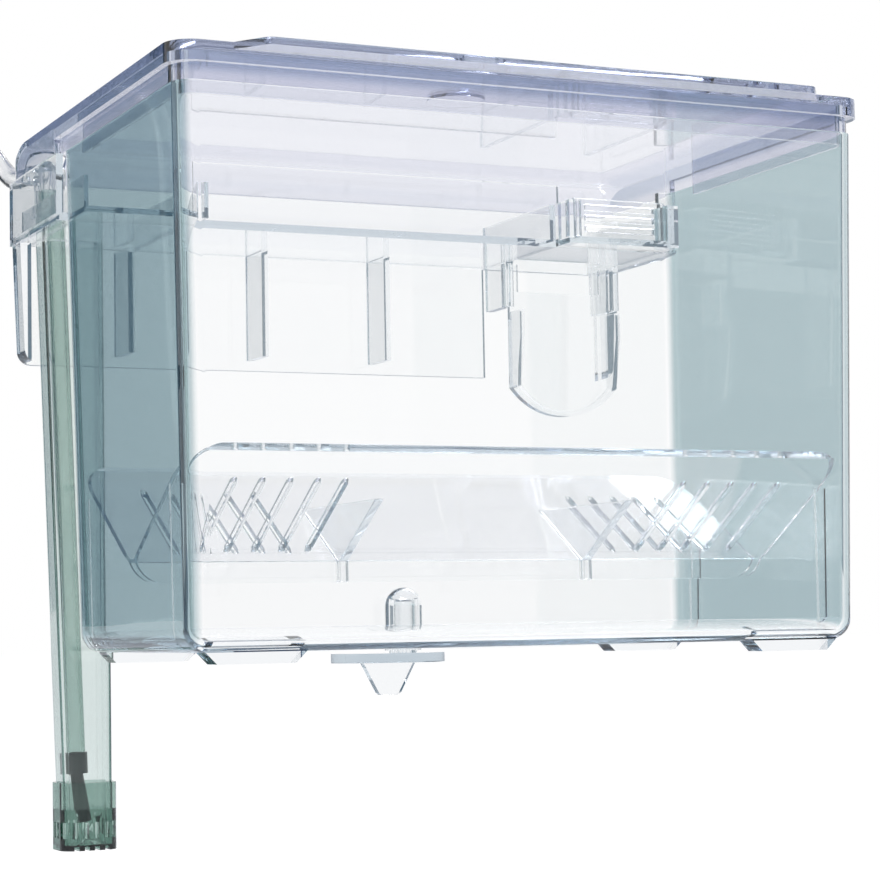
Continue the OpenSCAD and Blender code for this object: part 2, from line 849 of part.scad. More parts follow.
// Elbow on the pipe's head with the nipple for the hose
module air_elbow() {
    socket_z = elbow_z - socket_h - socket_skirt;
    bore_h = socket_h + socket_skirt - elbow_od / 2;
    color([0.86, 0.92, 0.94, 0.7]) {
        difference() {
            union() {
                on_pipe()
                translate([0, 0, socket_z]) cylinder(d = elbow_od, h = elbow_z - socket_z);
                translate(elbow_at) sphere(d = elbow_od);
                on_nipple() cylinder(d = hose_od + 2 * fit, h = elbow_shoulder);
            }
            on_pipe()
            translate([0, 0, socket_z - past]) cylinder(d = pipe_od + 0.04, h = bore_h);
        }
        on_nipple() cylinder(d = nipple_od, h = elbow_shoulder + nipple_len);
    }
}

module airline_hose() {
    count = len(hose_route);
    tangents = [
        for (k = [0:count - 1])
            k == 0 ? nipple_dir
            : k == count - 1 ? [0, 0, -1]
            : unit(hose_route[k + 1] - hose_route[k - 1])
    ];
    u_axes = [for (t = tangents) unit(cross(t, [1, 0, 0]))];
    v_axes = [for (k = [0:count - 1]) cross(tangents[k], u_axes[k])];
    color([0.9, 0.93, 0.95, 0.6]) swept_tube(hose_route, u_axes, v_axes, hose_od / 2, 10);
}

module airline_coil() {
    v_axes = [for (p = coil_points) [1, 0, 0]];
    color([0.9, 0.93, 0.95, 0.6]) swept_tube(coil_points, coil_outs, v_axes, hose_od / 2, 6);
}

// Band round the coil's turns
module hose_tie() {
    tie_t = 1.2;
    tie_w = 5;
    tie_gap = 0.4;
    near_r = coil_radius(coil_turns - 0.5) - hose_od / 2 - tie_gap;
    far_r = coil_radius(0.5) + hose_od / 2 + tie_gap;
    bundle_x = coil_pitch + hose_od + 2 * tie_gap;
    bundle_y = far_r - near_r;
    color([0.15, 0.16, 0.18])
    translate([(coil_x1 + coil_x2) / 2, coil_cy - (near_r + far_r) / 2, coil_cz - tie_w / 2])
        linear_extrude(tie_w)
            difference() {
                round_rect(bundle_x + 2 * tie_t, bundle_y + 2 * tie_t, 3);
                round_rect(bundle_x, bundle_y, 3 - tie_t);
            }
}

// Half of the check valve, from its rim to its nipple
module valve_half(long_nipple) {
    neck_r = 3.2;
    skin = 1.4;
    nipple = long_nipple ? 10 : nipple_len;
    neck_z = valve_rim_h + valve_cone_h;
    tip_z = neck_z + valve_neck_h + nipple;
    difference() {
        union() {
            cylinder(d = valve_od, h = valve_rim_h);
            translate([0, 0, valve_rim_h])
                cylinder(d1 = valve_od, d2 = 2 * neck_r, h = valve_cone_h);
            translate([0, 0, neck_z]) cylinder(r = neck_r, h = valve_neck_h);
            translate([0, 0, neck_z]) cylinder(d = nipple_od, h = tip_z - neck_z);
        }
        translate([0, 0, -past]) cylinder(d = valve_od - 2 * skin, h = valve_rim_h + past - 0.5);
        cylinder(d = nipple_od / 2, h = tip_z + past);
    }
}
module valve_outlet_half() {
    color([0.93, 0.94, 0.96, 0.7]) translate(valve_top_rim) valve_half(false);
}

module valve_flap() {
    color([0.85, 0.4, 0.3])
        translate(valve_top_rim - [0, 0, flap_t]) cylinder(d = valve_od - 1.6, h = flap_t);
}

module valve_inlet_half() {
    color([0.25, 0.45, 0.75, 0.8])
        translate(valve_top_rim - [0, 0, flap_t]) mirror([0, 0, 1]) valve_half(true);
}

// Outline of the scoop from behind: straight sides and a round lower end
module scoop_outline(inset) {
    hw = scoop_hw - inset;
    r = 1.25 * scoop_hw - inset;
    centre_z = 1.25 * scoop_hw - scoop_h;
    side_z = centre_z - sqrt(r * r - hw * hw);
    block_2d([outlet_x - hw, side_z], [outlet_x + hw, -2 * fit]);
    intersection() {
        translate([outlet_x, centre_z]) circle(r, $fn = 96);
        block_2d([outlet_x - hw, centre_z - r - past], [outlet_x + hw, side_z + past]);
    }
}

// Plate with a window at the top and a flange that narrows towards the round end
module outlet_scoop() {
    window_low = -9;
    window_side = 3;
    flange_top = -15.5;
    flange_low = 2;
    slant_top = flange_top - 8;
    front = rib_y - scoop_flange;
    color([0.86, 0.9, 0.95, 0.5])
    difference() {
        along_y(front, rib_y + scoop_t) scoop_outline(0);
        along_y(front - past, rib_y) scoop_outline(scoop_t);
        block(
            [outlet_lo - channel_h, front - past, flange_top],
            [outlet_hi + channel_h, rib_y, past]
        );
        along_x(outlet_lo - channel_h, outlet_hi + channel_h)
            polygon([
                [front - past, slant_top], [front, slant_top],
                [rib_y - flange_low, -scoop_h - past], [front - past, -scoop_h - past]
            ]);
        block(
            [outlet_x - scoop_hw + window_side, rib_y - past, window_low],
            [outlet_x + scoop_hw - window_side, rib_y + scoop_t + past, past]
        );
    }
}

module outlet_guard() {
    guard_hw = outlet_w / 2 - post_w + channel_t / 2 + groove - fit;
    bar = 1.6;
    frame_w = 2.4;
    low = bridge_t;
    high = bridge_t + guard_h - 0.2;
    gap = (guard_h - 2 * frame_w + 0.8 - bar * (guard_gaps - 1)) / guard_gaps;
    color([0.85, 0.9, 0.94, 0.5])
    difference() {
        block(
            [outlet_x - guard_hw, guard_y - guard_t / 2, low],
            [outlet_x + guard_hw, guard_y + guard_t / 2, high]
        );
        for (k = [0:guard_gaps - 1]) {
            z = low + frame_w - 0.5 + k * (gap + bar);
            block(
                [outlet_x - guard_hw + post_w / 2 + 2, guard_y - guard_t, z],
                [outlet_x + guard_hw - post_w / 2 - 2, guard_y + guard_t, z + gap]
            );
        }
    }
}

module leveller_cam() {
    collar_r = 4;
    grip_t = 2.6;
    grip_top = 8.25;
    grip_low = 3.15;
    color([0.75, 0.82, 0.94, 0.6]) {
        translate([0, stem_y, cam_top - thin]) cylinder(r = stem_r, h = stem_top - cam_top);
        translate([0, stem_y, cam_top - thin]) cylinder(r = collar_r, h = collar_h);
        translate([0, stem_y + cam_offset, cam_top - cam_t]) cylinder(r = cam_r, h = cam_t, $fn = 96);
        translate([0, stem_y + cam_offset, 0])
            along_y(-grip_t / 2, grip_t / 2)
                polygon([
                    [-grip_top, cam_top - cam_t + thin], [grip_top, cam_top - cam_t + thin],
                    [grip_low, cam_top - cam_t - grip_h], [-grip_low, cam_top - cam_t - grip_h]
                ]);
    }
}

box_shell();
hanger_saddle();
lid();
tray_front_panel();
tray_rear_panel();
tray_gusset_left();
tray_gusset_right();
intake_trough();
uptake_duct();
strainer_cup();
air_pipe();
air_jet();
air_elbow();
airline_hose();
airline_coil();
hose_tie();
valve_outlet_half();
valve_flap();
valve_inlet_half();
outlet_scoop();
outlet_guard();
leveller_cam();
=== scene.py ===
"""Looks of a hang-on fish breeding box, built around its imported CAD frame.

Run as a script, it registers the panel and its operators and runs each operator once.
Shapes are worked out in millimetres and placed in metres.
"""

import math
from types import SimpleNamespace

import bmesh
import bpy
from mathutils import Matrix, Vector


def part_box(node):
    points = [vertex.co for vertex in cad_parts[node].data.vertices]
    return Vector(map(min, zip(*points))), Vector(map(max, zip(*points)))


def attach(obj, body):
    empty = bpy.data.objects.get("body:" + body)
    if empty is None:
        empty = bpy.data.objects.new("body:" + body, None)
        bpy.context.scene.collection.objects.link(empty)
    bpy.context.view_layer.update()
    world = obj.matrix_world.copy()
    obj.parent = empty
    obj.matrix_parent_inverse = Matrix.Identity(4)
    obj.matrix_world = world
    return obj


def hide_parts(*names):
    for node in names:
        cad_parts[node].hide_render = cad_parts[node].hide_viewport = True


bl_info = {
    "name": "Hang-on breeding box",
    "version": (1, 0, 0),
    "blender": (4, 5, 0),
    "location": "3D View > Sidebar > Breeding Box",
    "description": "Builds the clear box, lid, fry tray, water lift and airline",
    "category": "Object",
}

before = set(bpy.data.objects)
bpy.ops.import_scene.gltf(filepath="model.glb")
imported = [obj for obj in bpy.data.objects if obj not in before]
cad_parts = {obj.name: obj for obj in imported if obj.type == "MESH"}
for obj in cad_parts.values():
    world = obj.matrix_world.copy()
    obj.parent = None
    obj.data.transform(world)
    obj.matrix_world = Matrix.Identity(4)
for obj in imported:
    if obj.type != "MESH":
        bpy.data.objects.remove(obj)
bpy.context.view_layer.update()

MM = 0.001
AXES = {"X": Vector((1, 0, 0)), "Y": Vector((0, 1, 0)), "Z": Vector((0, 0, 1))}
# Lean of the box walls, in millimetres out for each millimetre up
LEAN = 0.02
# Overlap of a cutting solid past the face that it cuts
PAST = 1.0
# Gap kept between two clear pieces that touch, so that their faces never coincide
SKIN = 0.06


def linear(hex_colour):
    """An sRGB hex colour as linear red, green and blue."""
    parts = [int(hex_colour[k:k + 2], 16) / 255 for k in (1, 3, 5)]
    return tuple(c / 12.92 if c <= 0.04045 else ((c + 0.055) / 1.055) ** 2.4 for c in parts)


def length(name, description, default):
    """A length property in metres."""
    return bpy.props.FloatProperty(
        name=name, description=description, default=default, min=0.0, unit="LENGTH"
    )


def colour(name, description, hex_colour):
    """A colour property from its sRGB hex value."""
    return bpy.props.FloatVectorProperty(
        name=name, description=description, default=linear(hex_colour),
        min=0.0, max=1.0, size=3, subtype="COLOR",
    )


class BreederSizes(bpy.types.PropertyGroup):
    """Sizes of the moulded pieces"""

    wall: length("Box wall", "Thickness of the water box's walls", 0.002)
    floor: length("Box floor", "Thickness of the water box's floor", 0.0025)
    corner: length("Box corner", "Outer radius of the box's corners", 0.0055)
    foot: length("Foot height", "Height of the pads under the floor", 0.0028)
    bridge: length("Bridge", "Thickness of the bridge over the tank's rim", 0.0023)
    hanger: length("Hanger wall", "Thickness of the hanger's walls", 0.002)
    lid: length("Lid wall", "Thickness of the lid", 0.0018)
    bead: length("Lid bead", "Height of the bead round the lid's top", 0.005)
    nose: length("Lid nose", "Radius of the lid's curved rear edge", 0.017)
    lip: length("Finger lip", "How far the finger lip stands out", 0.0083)
    panel: length("Tray panel", "Thickness of the tray's panels", 0.0016)
    slot: length("Tray slot", "Width of a slot in the tray", 0.0018)
    pitch: length("Slot pitch", "Spacing of the tray's slots", 0.0074)
    gusset: length("Gusset", "Thickness of the tray's gussets", 0.0024)
    duct: length("Duct wall", "Thickness of the lift duct's walls", 0.0012)
    pipe: length("Air pipe", "Outer diameter of the air pipe", 0.0058)
    hose: length("Hose", "Outer diameter of the airline hose", 0.006)
    hose_wall: length("Hose wall", "Thickness of the hose's wall", 0.001)
    edge: length("Moulded edge", "Radius of the moulded edges", 0.0003)


class BreederColours(bpy.types.PropertyGroup):
    """Colours of the clear and coloured plastics"""

    edge: colour("Box edges", "What a deep edge of the clear plastic lets through", "#AEC3D0")
    # Painted shade: the grey-blue that the end walls show where light falls on them, painted into
    # their faces' base colour
    ends: colour("Box ends painted shade", "What the box's end walls let through", "#AFC5CA")
    lid: colour("Lid edges", "What a deep edge of the lid lets through", "#A4AFCB")
    # Painted shade: the bead's darker lavender, painted into the base colour of its upright faces;
    # the plate colour is the lid's own tint
    plate: colour("Lid plate", "What the lid's walls let through", "#E6E7F0")
    bead: colour("Lid bead", "What the lid's bead lets through", "#CAD1E1")
    duct: colour("Duct tint", "What the duct's plastic lets through", "#8CB8B1")
    strainer: colour("Strainer tint", "What the strainer's plastic lets through", "#5DA695")
    jet: colour("Jet", "Colour of the jet", "#2B3B38")
    vinyl: colour("Hose tint", "What the hose's vinyl lets through", "#B9C4CC")
    valve: colour("Valve", "Colour of the valve's outlet half", "#EEF1F4")
    valve_blue: colour("Valve inlet", "Colour of the valve's inlet half", "#3C6FB4")
    rubber: colour("Valve flap", "Colour of the valve's flap", "#C2553F")
    floor: colour("Floor", "Colour of the studio floor", "#F4F5F6")
    screens: colour("Screens", "Colour of the studio's side screens", "#566E7E")
    ceiling: colour("Ceiling", "Colour of the studio's ceiling", "#7883A2")


def span(node):
    """A CAD node's lowest and highest corners, in millimetres."""
    low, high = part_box(node)
    return low / MM, high / MM


def measures(context):
    """The sizes in millimetres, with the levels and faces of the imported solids."""
    group = context.scene.breeder_sizes
    s = SimpleNamespace(**{
        name: getattr(group, name) / MM for name in BreederSizes.__annotations__
    })
    box_low, box_high = span("box_shell")
    saddle_low, saddle_high = span("hanger_saddle")
    tray_low, tray_high = span("tray_rear_panel")
    s.rim = saddle_high.z
    s.floor_z = box_low.z + s.foot
    s.floor_top = s.floor_z + s.floor
    spread = LEAN * (s.rim - s.floor_z)
    front, back = box_low.y + spread, box_high.y - spread
    s.half_w = box_high.x - spread
    s.mid_y = (front + back) / 2
    s.half_d = (back - front) / 2
    s.inner_corner = s.corner - s.wall
    s.back_y = s.mid_y + s.half_d - LEAN * s.floor_z
    s.hang_x = saddle_high.x
    s.rear_y = saddle_high.y
    s.apron_low = saddle_low.z
    s.apron_y = s.rear_y - s.hanger
    s.rib_y = -s.back_y
    s.lid_top = span("lid")[1].z
    s.lid_front = box_low.y - (s.hang_x - box_high.x)
    s.tray_top = tray_high.z
    s.tray_low = tray_low.z
    s.tray_w = tray_high.x
    s.tray_d = tray_high.y - s.mid_y
    s.valley_half = tray_low.y - s.mid_y
    s.valley_z = s.tray_low + 6.4
    s.slope = (s.tray_top - s.valley_z) / (s.tray_d - s.valley_half)
    s.panel_drop = s.panel * math.hypot(1, s.slope)
    s.trough_low, s.trough_high = span("intake_trough")
    s.duct_low, s.duct_high = span("uptake_duct")
    s.cup_low, s.cup_high = span("strainer_cup")
    s.scoop_low, s.scoop_high = span("outlet_scoop")
    s.guard_low, s.guard_high = span("outlet_guard")
    s.cam_low, s.cam_high = span("leveller_cam")
    s.outlet_x = (s.scoop_low.x + s.scoop_high.x) / 2
    s.outlet_half = (s.scoop_high.x - s.scoop_low.x) / 2 - 0.2
    s.duct_y = (s.duct_low.y + s.duct_high.y) / 2
    return s


def out_x(s, z):
    """Half the box's outer width at a level."""
    return s.half_w + LEAN * (z - s.floor_z)


def out_y(s, z):
    """Half the box's outer depth at a level."""
    return s.half_d + LEAN * (z - s.floor_z)


# Solids in millimetres


def box_of(low, high):
    """A box between two opposite corners."""
    bm = bmesh.new()
    bmesh.ops.create_cube(bm, size=1)
    low, high = Vector(map(min, low, high)), Vector(map(max, low, high))
    bmesh.ops.scale(bm, vec=high - low, verts=bm.verts)
    bmesh.ops.translate(bm, vec=(low + high) / 2, verts=bm.verts)
    return bm


def block(middle, half, y_range, z_range):
    """A box of a half width about a middle in X, from one level to another in Y and in Z."""
    return box_of(*zip((middle - half, middle + half), y_range, z_range))


def slab(axis, low, high, outline, radii=None, segments=8):
    """An outline pulled along an axis, with a radius at the corners that radii names."""
    bm = bmesh.new()
    place = {
        "X": lambda a, b: (low, a, b), "Y": lambda a, b: (a, low, b), "Z": lambda a, b: (a, b, low)
    }[axis]
    corners = [bm.verts.new(place(*point)) for point in outline]
    spots = [corner.co.copy() for corner in corners]
    bm.faces.new(corners)
    for index, radius in (radii or {}).items():
        ahead = spots[(index + 1) % len(spots)] - spots[index]
        turn = ahead.angle(spots[index - 1] - spots[index])
        bmesh.ops.bevel(
            bm, geom=[corners[index]], offset=radius / math.tan(turn / 2), segments=segments,
            profile=0.5, affect="VERTICES", material=-1,
        )
    grown = bmesh.ops.extrude_face_region(bm, geom=bm.faces[:])["geom"]
    ends = [item for item in grown if isinstance(item, bmesh.types.BMVert)]
    bmesh.ops.translate(bm, vec=AXES[axis] * (high - low), verts=ends)
    bmesh.ops.recalc_face_normals(bm, faces=bm.faces)
    return bm


def rect(low, high):
    """The four corners of a rectangle, anticlockwise."""
    return [(low[0], low[1]), (high[0], low[1]), (high[0], high[1]), (low[0], high[1])]


def round_slab(axis, low, high, corner_low, corner_high, radius, segments=8):
    """A slab whose outline is a rectangle with four round corners."""
    return slab(
        axis, low, high, rect(corner_low, corner_high), {k: radius for k in range(4)}, segments
    )


def turned(profile, steps=48):
    """A profile of radius and height spun round the Z axis."""
    bm = bmesh.new()
    points = [bm.verts.new((radius, 0, height)) for radius, height in profile]
    pairs = list(zip(points, points[1:]))
    if profile[0][0] > 0:
        pairs.append((points[-1], points[0]))
    edges = [bm.edges.new(pair) for pair in pairs]
    bmesh.ops.spin(
        bm, geom=points + edges, cent=(0, 0, 0), axis=(0, 0, 1), angle=math.tau, steps=steps,
        use_merge=True,
    )
    bmesh.ops.remove_doubles(bm, verts=bm.verts, dist=0.001)
    bmesh.ops.recalc_face_normals(bm, faces=bm.faces)
    return bm


def tube(radius, bore, low, high, steps=48):
    """An upright round tube, or a rod where the bore is 0."""
    return turned([(bore, low), (radius, low), (radius, high), (bore, high)], steps)


def ball(radius, centre):
    """A sphere."""
    bm = bmesh.new()
    bmesh.ops.create_uvsphere(bm, u_segments=48, v_segments=24, radius=radius)
    bmesh.ops.translate(bm, vec=centre, verts=bm.verts)
    return bm


def moved(bm, matrix):
    """The solid moved by a matrix."""
    bmesh.ops.transform(bm, matrix=matrix, verts=bm.verts)
    return bm


def shifted(bm, *offset):
    """The solid moved along X, Y and Z."""
    return moved(bm, Matrix.Translation(offset))


def sliced(bm, *places):
    """The solid with its faces cut along planes across X, so that no hole leaves a closed ring."""
    for place in places:
        bmesh.ops.bisect_plane(
            bm, geom=bm.verts[:] + bm.edges[:] + bm.faces[:], plane_co=(place, 0, 0),
            plane_no=AXES["X"],
        )
    return bm


def mesh_of(name, solid):
    """The solid as a mesh."""
    mesh = bpy.data.meshes.new(name)
    solid.to_mesh(mesh)
    solid.free()
    return mesh


def placed(name, data):
    """A new object in the scene."""
    made = bpy.data.objects.new(name, data)
    bpy.context.scene.collection.objects.link(made)
    return made


def pooled(*solids):
    """Solids that don't touch, as one."""
    pool = bmesh.new()
    for solid in solids:
        mesh = mesh_of("pooled", solid)
        pool.from_mesh(mesh)
        bpy.data.meshes.remove(mesh)
    return pool


def combined(solid, operation, others):
    """The solid after a Boolean with each of the others in turn."""
    for other in others:
        holders = [placed("working", mesh_of("working", item)) for item in (solid, other)]
        boolean = holders[0].modifiers.new("Boolean", "BOOLEAN")
        boolean.operation = operation
        boolean.solver = "EXACT"
        boolean.object = holders[1]
        evaluated = holders[0].evaluated_get(bpy.context.evaluated_depsgraph_get())
        solid = bmesh.new()
        solid.from_mesh(evaluated.to_mesh())
        evaluated.to_mesh_clear()
        for holder in holders:
            mesh = holder.data
            bpy.data.objects.remove(holder)
            bpy.data.meshes.remove(mesh)
        bmesh.ops.remove_doubles(solid, verts=solid.verts, dist=0.002)
        if not solid.faces:
            raise RuntimeError(f"a Boolean {operation.lower()} left nothing")
    return solid


def union(solid, *others):
    return combined(solid, "UNION", others)


def less(solid, *others):
    return combined(solid, "DIFFERENCE", others)


def common(solid, *others):
    return combined(solid, "INTERSECT", others)


def leaning(s, half_w, half_d, low, high, radius, segments=10):
    """A block whose walls lean out, with round upright corners and a round lower edge."""
    bm = box_of((-half_w, s.mid_y - half_d, low), (half_w, s.mid_y + half_d, high))
    rounded = [
        edge for edge in bm.edges
        if abs(edge.verts[0].co.z - edge.verts[1].co.z) > 1 or edge.verts[0].co.z < (low + high) / 2
    ]
    bmesh.ops.bevel(
        bm, geom=rounded, offset=radius, segments=segments, profile=0.5, affect="EDGES", material=-1
    )
    for vert in bm.verts:
        shift = LEAN * (vert.co.z - s.floor_z)
        vert.co.x += math.copysign(shift, vert.co.x)
        vert.co.y += math.copysign(shift, vert.co.y - s.mid_y)
    return bm


def piece(name, bm, body, look, node, edge=0.0, segments=2, angle=32):
    """The finished object of a solid: scaled to metres, softly edged and riding on its body."""
    slot, material = look
    bmesh.ops.scale(bm, vec=(MM, MM, MM), verts=bm.verts)
    mesh = mesh_of(name, bm)
    mesh.shade_smooth()
    mesh.materials.append(material)
    made = placed(name, mesh)
    if edge:
        bevel = made.modifiers.new("Moulded edges", "BEVEL")
        bevel.width = edge * MM
        bevel.segments = segments
        bevel.limit_method = "ANGLE"
        bevel.angle_limit = math.radians(angle)
    else:
        mesh.set_sharp_from_angle(angle=math.radians(angle))
    # Flat faces stay optically flat beside the round edges
    normals = made.modifiers.new("Flat faces", "WEIGHTED_NORMAL")
    normals.mode = "FACE_AREA"
    normals.weight = 100
    normals.keep_sharp = True
    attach(made, body)
    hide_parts(node)
    return made


# Materials

# Most roughness that the faint haze adds
HAZE = 0.012


def add_node(tree, kind, inputs=None, **settings):
    """Adds a shader node with its settings, and sets or links its inputs.

    A node given as an input links its first output.
    """
    made = tree.nodes.new("ShaderNode" + kind)
    for key, value in settings.items():
        setattr(made, key, value)
    for socket, value in (inputs or {}).items():
        if isinstance(value, bpy.types.Node):
            value = value.outputs[0]
        if isinstance(value, bpy.types.NodeSocket):
            tree.links.new(value, made.inputs[socket])
        else:
            made.inputs[socket].default_value = value
    return made


def painted_shade_tint(tree, place, axis, start, end, facing, base, tint):
    """A base colour, turning to a tint past a distance along an axis, in metres, on the faces
    that look along facing's axis by as much as its two numbers say: painted shade, laid by the way
    a face looks rather than by the plastic's depth."""
    parts = add_node(tree, "SeparateXYZ", {0: place})
    away = add_node(tree, "Math", {0: parts.outputs[axis]}, operation="ABSOLUTE")
    share = add_node(
        tree, "MapRange", {"Value": away, "From Min": start, "From Max": end},
        interpolation_type="SMOOTHSTEP",
    )
    look_axis, none, full = facing
    normal = add_node(tree, "NewGeometry").outputs["Normal"]
    normal = add_node(tree, "SeparateXYZ", {0: normal})
    along = add_node(tree, "Math", {0: normal.outputs[look_axis]}, operation="ABSOLUTE")
    faces = add_node(tree, "MapRange", {"Value": along, "From Min": none, "From Max": full})
    both = add_node(tree, "Math", {0: share, 1: faces}, operation="MULTIPLY")
    return add_node(
        tree, "Mix", {0: both, 6: (*base, 1), 7: (*tint, 1)}, data_type="RGBA"
    ).outputs[2]


def node_tree(owner):
    """The emptied node tree of a material or a world."""
    owner.use_nodes = True
    owner.node_tree.nodes.clear()
    return owner.node_tree


def clear_plastic(name, tint, density, ior, rough, wave_mm, deep=None, wave_height_mm=0.02):
    """A clear moulding: its tint is what its thickness lets through, its flow lines are faint.
    Where deep is given, painted shade goes into the base colour of the faces that it picks.
    """
    if name in bpy.data.materials:
        return bpy.data.materials[name]
    material = bpy.data.materials.new(name)
    tree = node_tree(material)
    place = add_node(tree, "TexCoord").outputs["Object"]
    waves = add_node(
        tree, "TexNoise",
        {"Vector": place, "Scale": 1 / (wave_mm * MM), "Detail": 1.0, "Distortion": 0.4},
    )
    haze = add_node(tree, "TexNoise", {"Vector": place, "Scale": 1 / (6 * MM), "Detail": 4.0})
    bump = add_node(
        tree, "Bump", {"Height": waves, "Strength": 1.0, "Distance": wave_height_mm * MM}
    )
    roughness = add_node(
        tree, "MapRange",
        {"Value": haze, "From Min": 0.4, "From Max": 0.75, "To Min": rough,
         "To Max": rough + HAZE},
    )
    surface = add_node(
        tree, "BsdfPrincipled",
        # deep lays painted shade on the base colour, otherwise the surface stays white
        {"Base Color": painted_shade_tint(tree, place, *deep) if deep else (1, 1, 1, 1),
         "Transmission Weight": 1.0, "IOR": ior, "Roughness": roughness, "Normal": bump},
    )
    inside = add_node(tree, "VolumeAbsorption", {"Color": (*tint, 1), "Density": density})
    add_node(tree, "OutputMaterial", {"Surface": surface, "Volume": inside})
    return material


def solid_plastic(name, base, rough, grain_mm, translucence=0.0):
    """An opaque or milky moulding with the fine grain of its mould."""
    if name in bpy.data.materials:
        return bpy.data.materials[name]
    material = bpy.data.materials.new(name)
    tree = node_tree(material)
    place = add_node(tree, "TexCoord").outputs["Object"]
    grain = add_node(
        tree, "TexNoise", {"Vector": place, "Scale": 1 / (grain_mm * MM), "Detail": 3.0}
    )
    cloud = add_node(tree, "TexNoise", {"Vector": place, "Scale": 1 / (5 * MM), "Detail": 2.0})
    mix = add_node(
        tree, "Mix", {0: cloud, 6: (*[c * 0.82 for c in base], 1), 7: (*base, 1)},
        data_type="RGBA",
    )
    bump = add_node(tree, "Bump", {"Height": grain, "Strength": 0.5, "Distance": 0.03 * MM})
    surface = add_node(
        tree, "BsdfPrincipled",
        {"Base Color": mix.outputs[2], "Roughness": rough, "IOR": 1.5,
         "Transmission Weight": translucence, "Normal": bump},
    )
    add_node(tree, "OutputMaterial", {"Surface": surface})
    return material


def plastics(context):
    """Each look's material slot and material."""
    c = context.scene.breeder_colours
    s = measures(context)
    side = (s.half_w - s.wall - 3) * MM
    bead = (s.lid_top - s.bead) * MM
    white = (1, 1, 1)
    # Painted shade: a grey-blue base colour on the box's end walls, on the faces that look along X
    ends = ("X", side, side + 2 * MM, ("X", 0.4, 0.85), white, c.ends)
    # Painted shade: the bead's darker lavender on upright faces near the lid's top, over the
    # plate's own tint
    upright = ("Z", bead - 3 * MM, bead + 0.2 * MM, ("Z", 0.8, 0.3), c.plate, c.bead)
    return {
        # General-purpose polystyrene, injection moulded: glass-clear, blue where it is deep
        "clear": ("clear_styrene", clear_plastic(
            "Clear polystyrene", c.edge, 16.0, 1.59, 0.006, 38)),
        # The same polystyrene in the box, with a grey-blue shade painted on its end walls
        "box": ("clear_styrene", clear_plastic(
            "Clear polystyrene with painted grey-blue shade on the ends", c.edge, 16.0, 1.59, 0.006, 38, ends)),
        # The same polystyrene with more of the blue-grey cast, in the leveller
        "cam": ("clear_styrene", clear_plastic(
            "Blue-grey polystyrene", c.edge, 32.0, 1.59, 0.02, 38)),
        # The same polystyrene with a lavender cast, and a darker lavender shade painted on the
        # upright faces of the lid's bead
        "lid": ("blue_clear_styrene", clear_plastic(
            "Lavender-cast polystyrene with painted shade on the bead", c.lid, 7.0, 1.59, 0.008, 30, upright)),
        # Extruded-grade styrene-acrylonitrile: clear with a grey-green cast
        "duct": ("green_clear_styrene", clear_plastic(
            "Green-cast styrene-acrylonitrile", c.duct, 200.0, 1.57, 0.02, 22)),
        # The same material smoked and drawn thin: the air pipe's rims show as dark lines
        "pipe": ("green_clear_styrene", clear_plastic(
            "Smoked drawn tube", c.strainer, 420.0, 1.57, 0.02, 12)),
        # Smoked styrene-acrylonitrile: dark where two walls lie behind each other
        "strainer": ("smoke_styrene", clear_plastic(
            "Smoked styrene-acrylonitrile", c.strainer, 620.0, 1.57, 0.03, 12)),
        # Plasticised vinyl tube: soft, clear, with a satin skin from extrusion
        "hose": ("clear_vinyl", clear_plastic(
            "Clear soft vinyl", c.vinyl, 60.0, 1.53, 0.1, 9, wave_height_mm=0.03)),
        # Moulded polypropylene, satin and nearly black
        "jet": ("dark_plastic", solid_plastic("Dark polypropylene", c.jet, 0.35, 0.5)),
        # Natural polypropylene: milky and slightly translucent
        "outlet": ("valve_white", solid_plastic("Natural polypropylene", c.valve, 0.3, 0.6, 0.35)),
        # Blue polypropylene with a moulded gloss
        "inlet": ("valve_blue", solid_plastic("Blue polypropylene", c.valve_blue, 0.3, 0.6)),
        # Silicone rubber sheet: matt
        "flap": ("valve_rubber", solid_plastic("Silicone rubber", c.rubber, 0.6, 0.4)),
    }


# Airline route, in millimetres: the free stretch and the coil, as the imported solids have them

PIPE_X = -88.18
PIPE_SLOPE = (19.5 - 14.1) / 164
PIPE_LEAN = math.atan(PIPE_SLOPE)
ELBOW = Vector((PIPE_X - 20.5 * PIPE_SLOPE, 23.15, 20.5))
NIPPLE = Vector((-0.34, 0.93, 0.1)).normalized()
HOSE_ROOT = ELBOW + 5 * NIPPLE
COIL_X, COIL_Y, COIL_Z = -138.5, -28.5, -47.7
COIL_R, COIL_PITCH, COIL_TURNS, COIL_STEPS, COIL_TAIL = 43.5, 6.5, 3, 24, 30.0
FREE_STRETCH = [
    (-92.4, 33, 21.6), (-94.4, 41.7, 21.9), (-95.6, 49.6, 25.3), (-97.6, 56, 31.3),
    (-101.7, 60.1, 37.9), (-107.6, 61.5, 44.5), (-114.4, 60.2, 50), (-121.4, 56.1, 53.7),
    (-127.7, 50, 55.2), (-132.6, 42.7, 54.1), (-135.7, 35.2, 50.6), (-137.5, 28.2, 45.5),
    (-138.3, 22.3, 39), (-138.5, 17.7, 31.4), (-138.5, 15, 23), (-138.5, 15, 14),
    (-138.5, 15, -8), (-138.5, 15, -32),
]


def coil_point(turn):
    """A point on the coil: in on one layer, over, and out on the next."""
    inward = turn if turn < COIL_TURNS else 2 * COIL_TURNS - turn
    radius = COIL_R - COIL_PITCH * inward
    climb = max(0.0, min(1.0, 2 * (turn - COIL_TURNS) + 0.5))
    x = COIL_X - COIL_PITCH * (1 - math.cos(math.pi * climb)) / 2
    angle = math.tau * turn
    return Vector((x, COIL_Y + radius * math.cos(angle), COIL_Z - radius * math.sin(angle)))


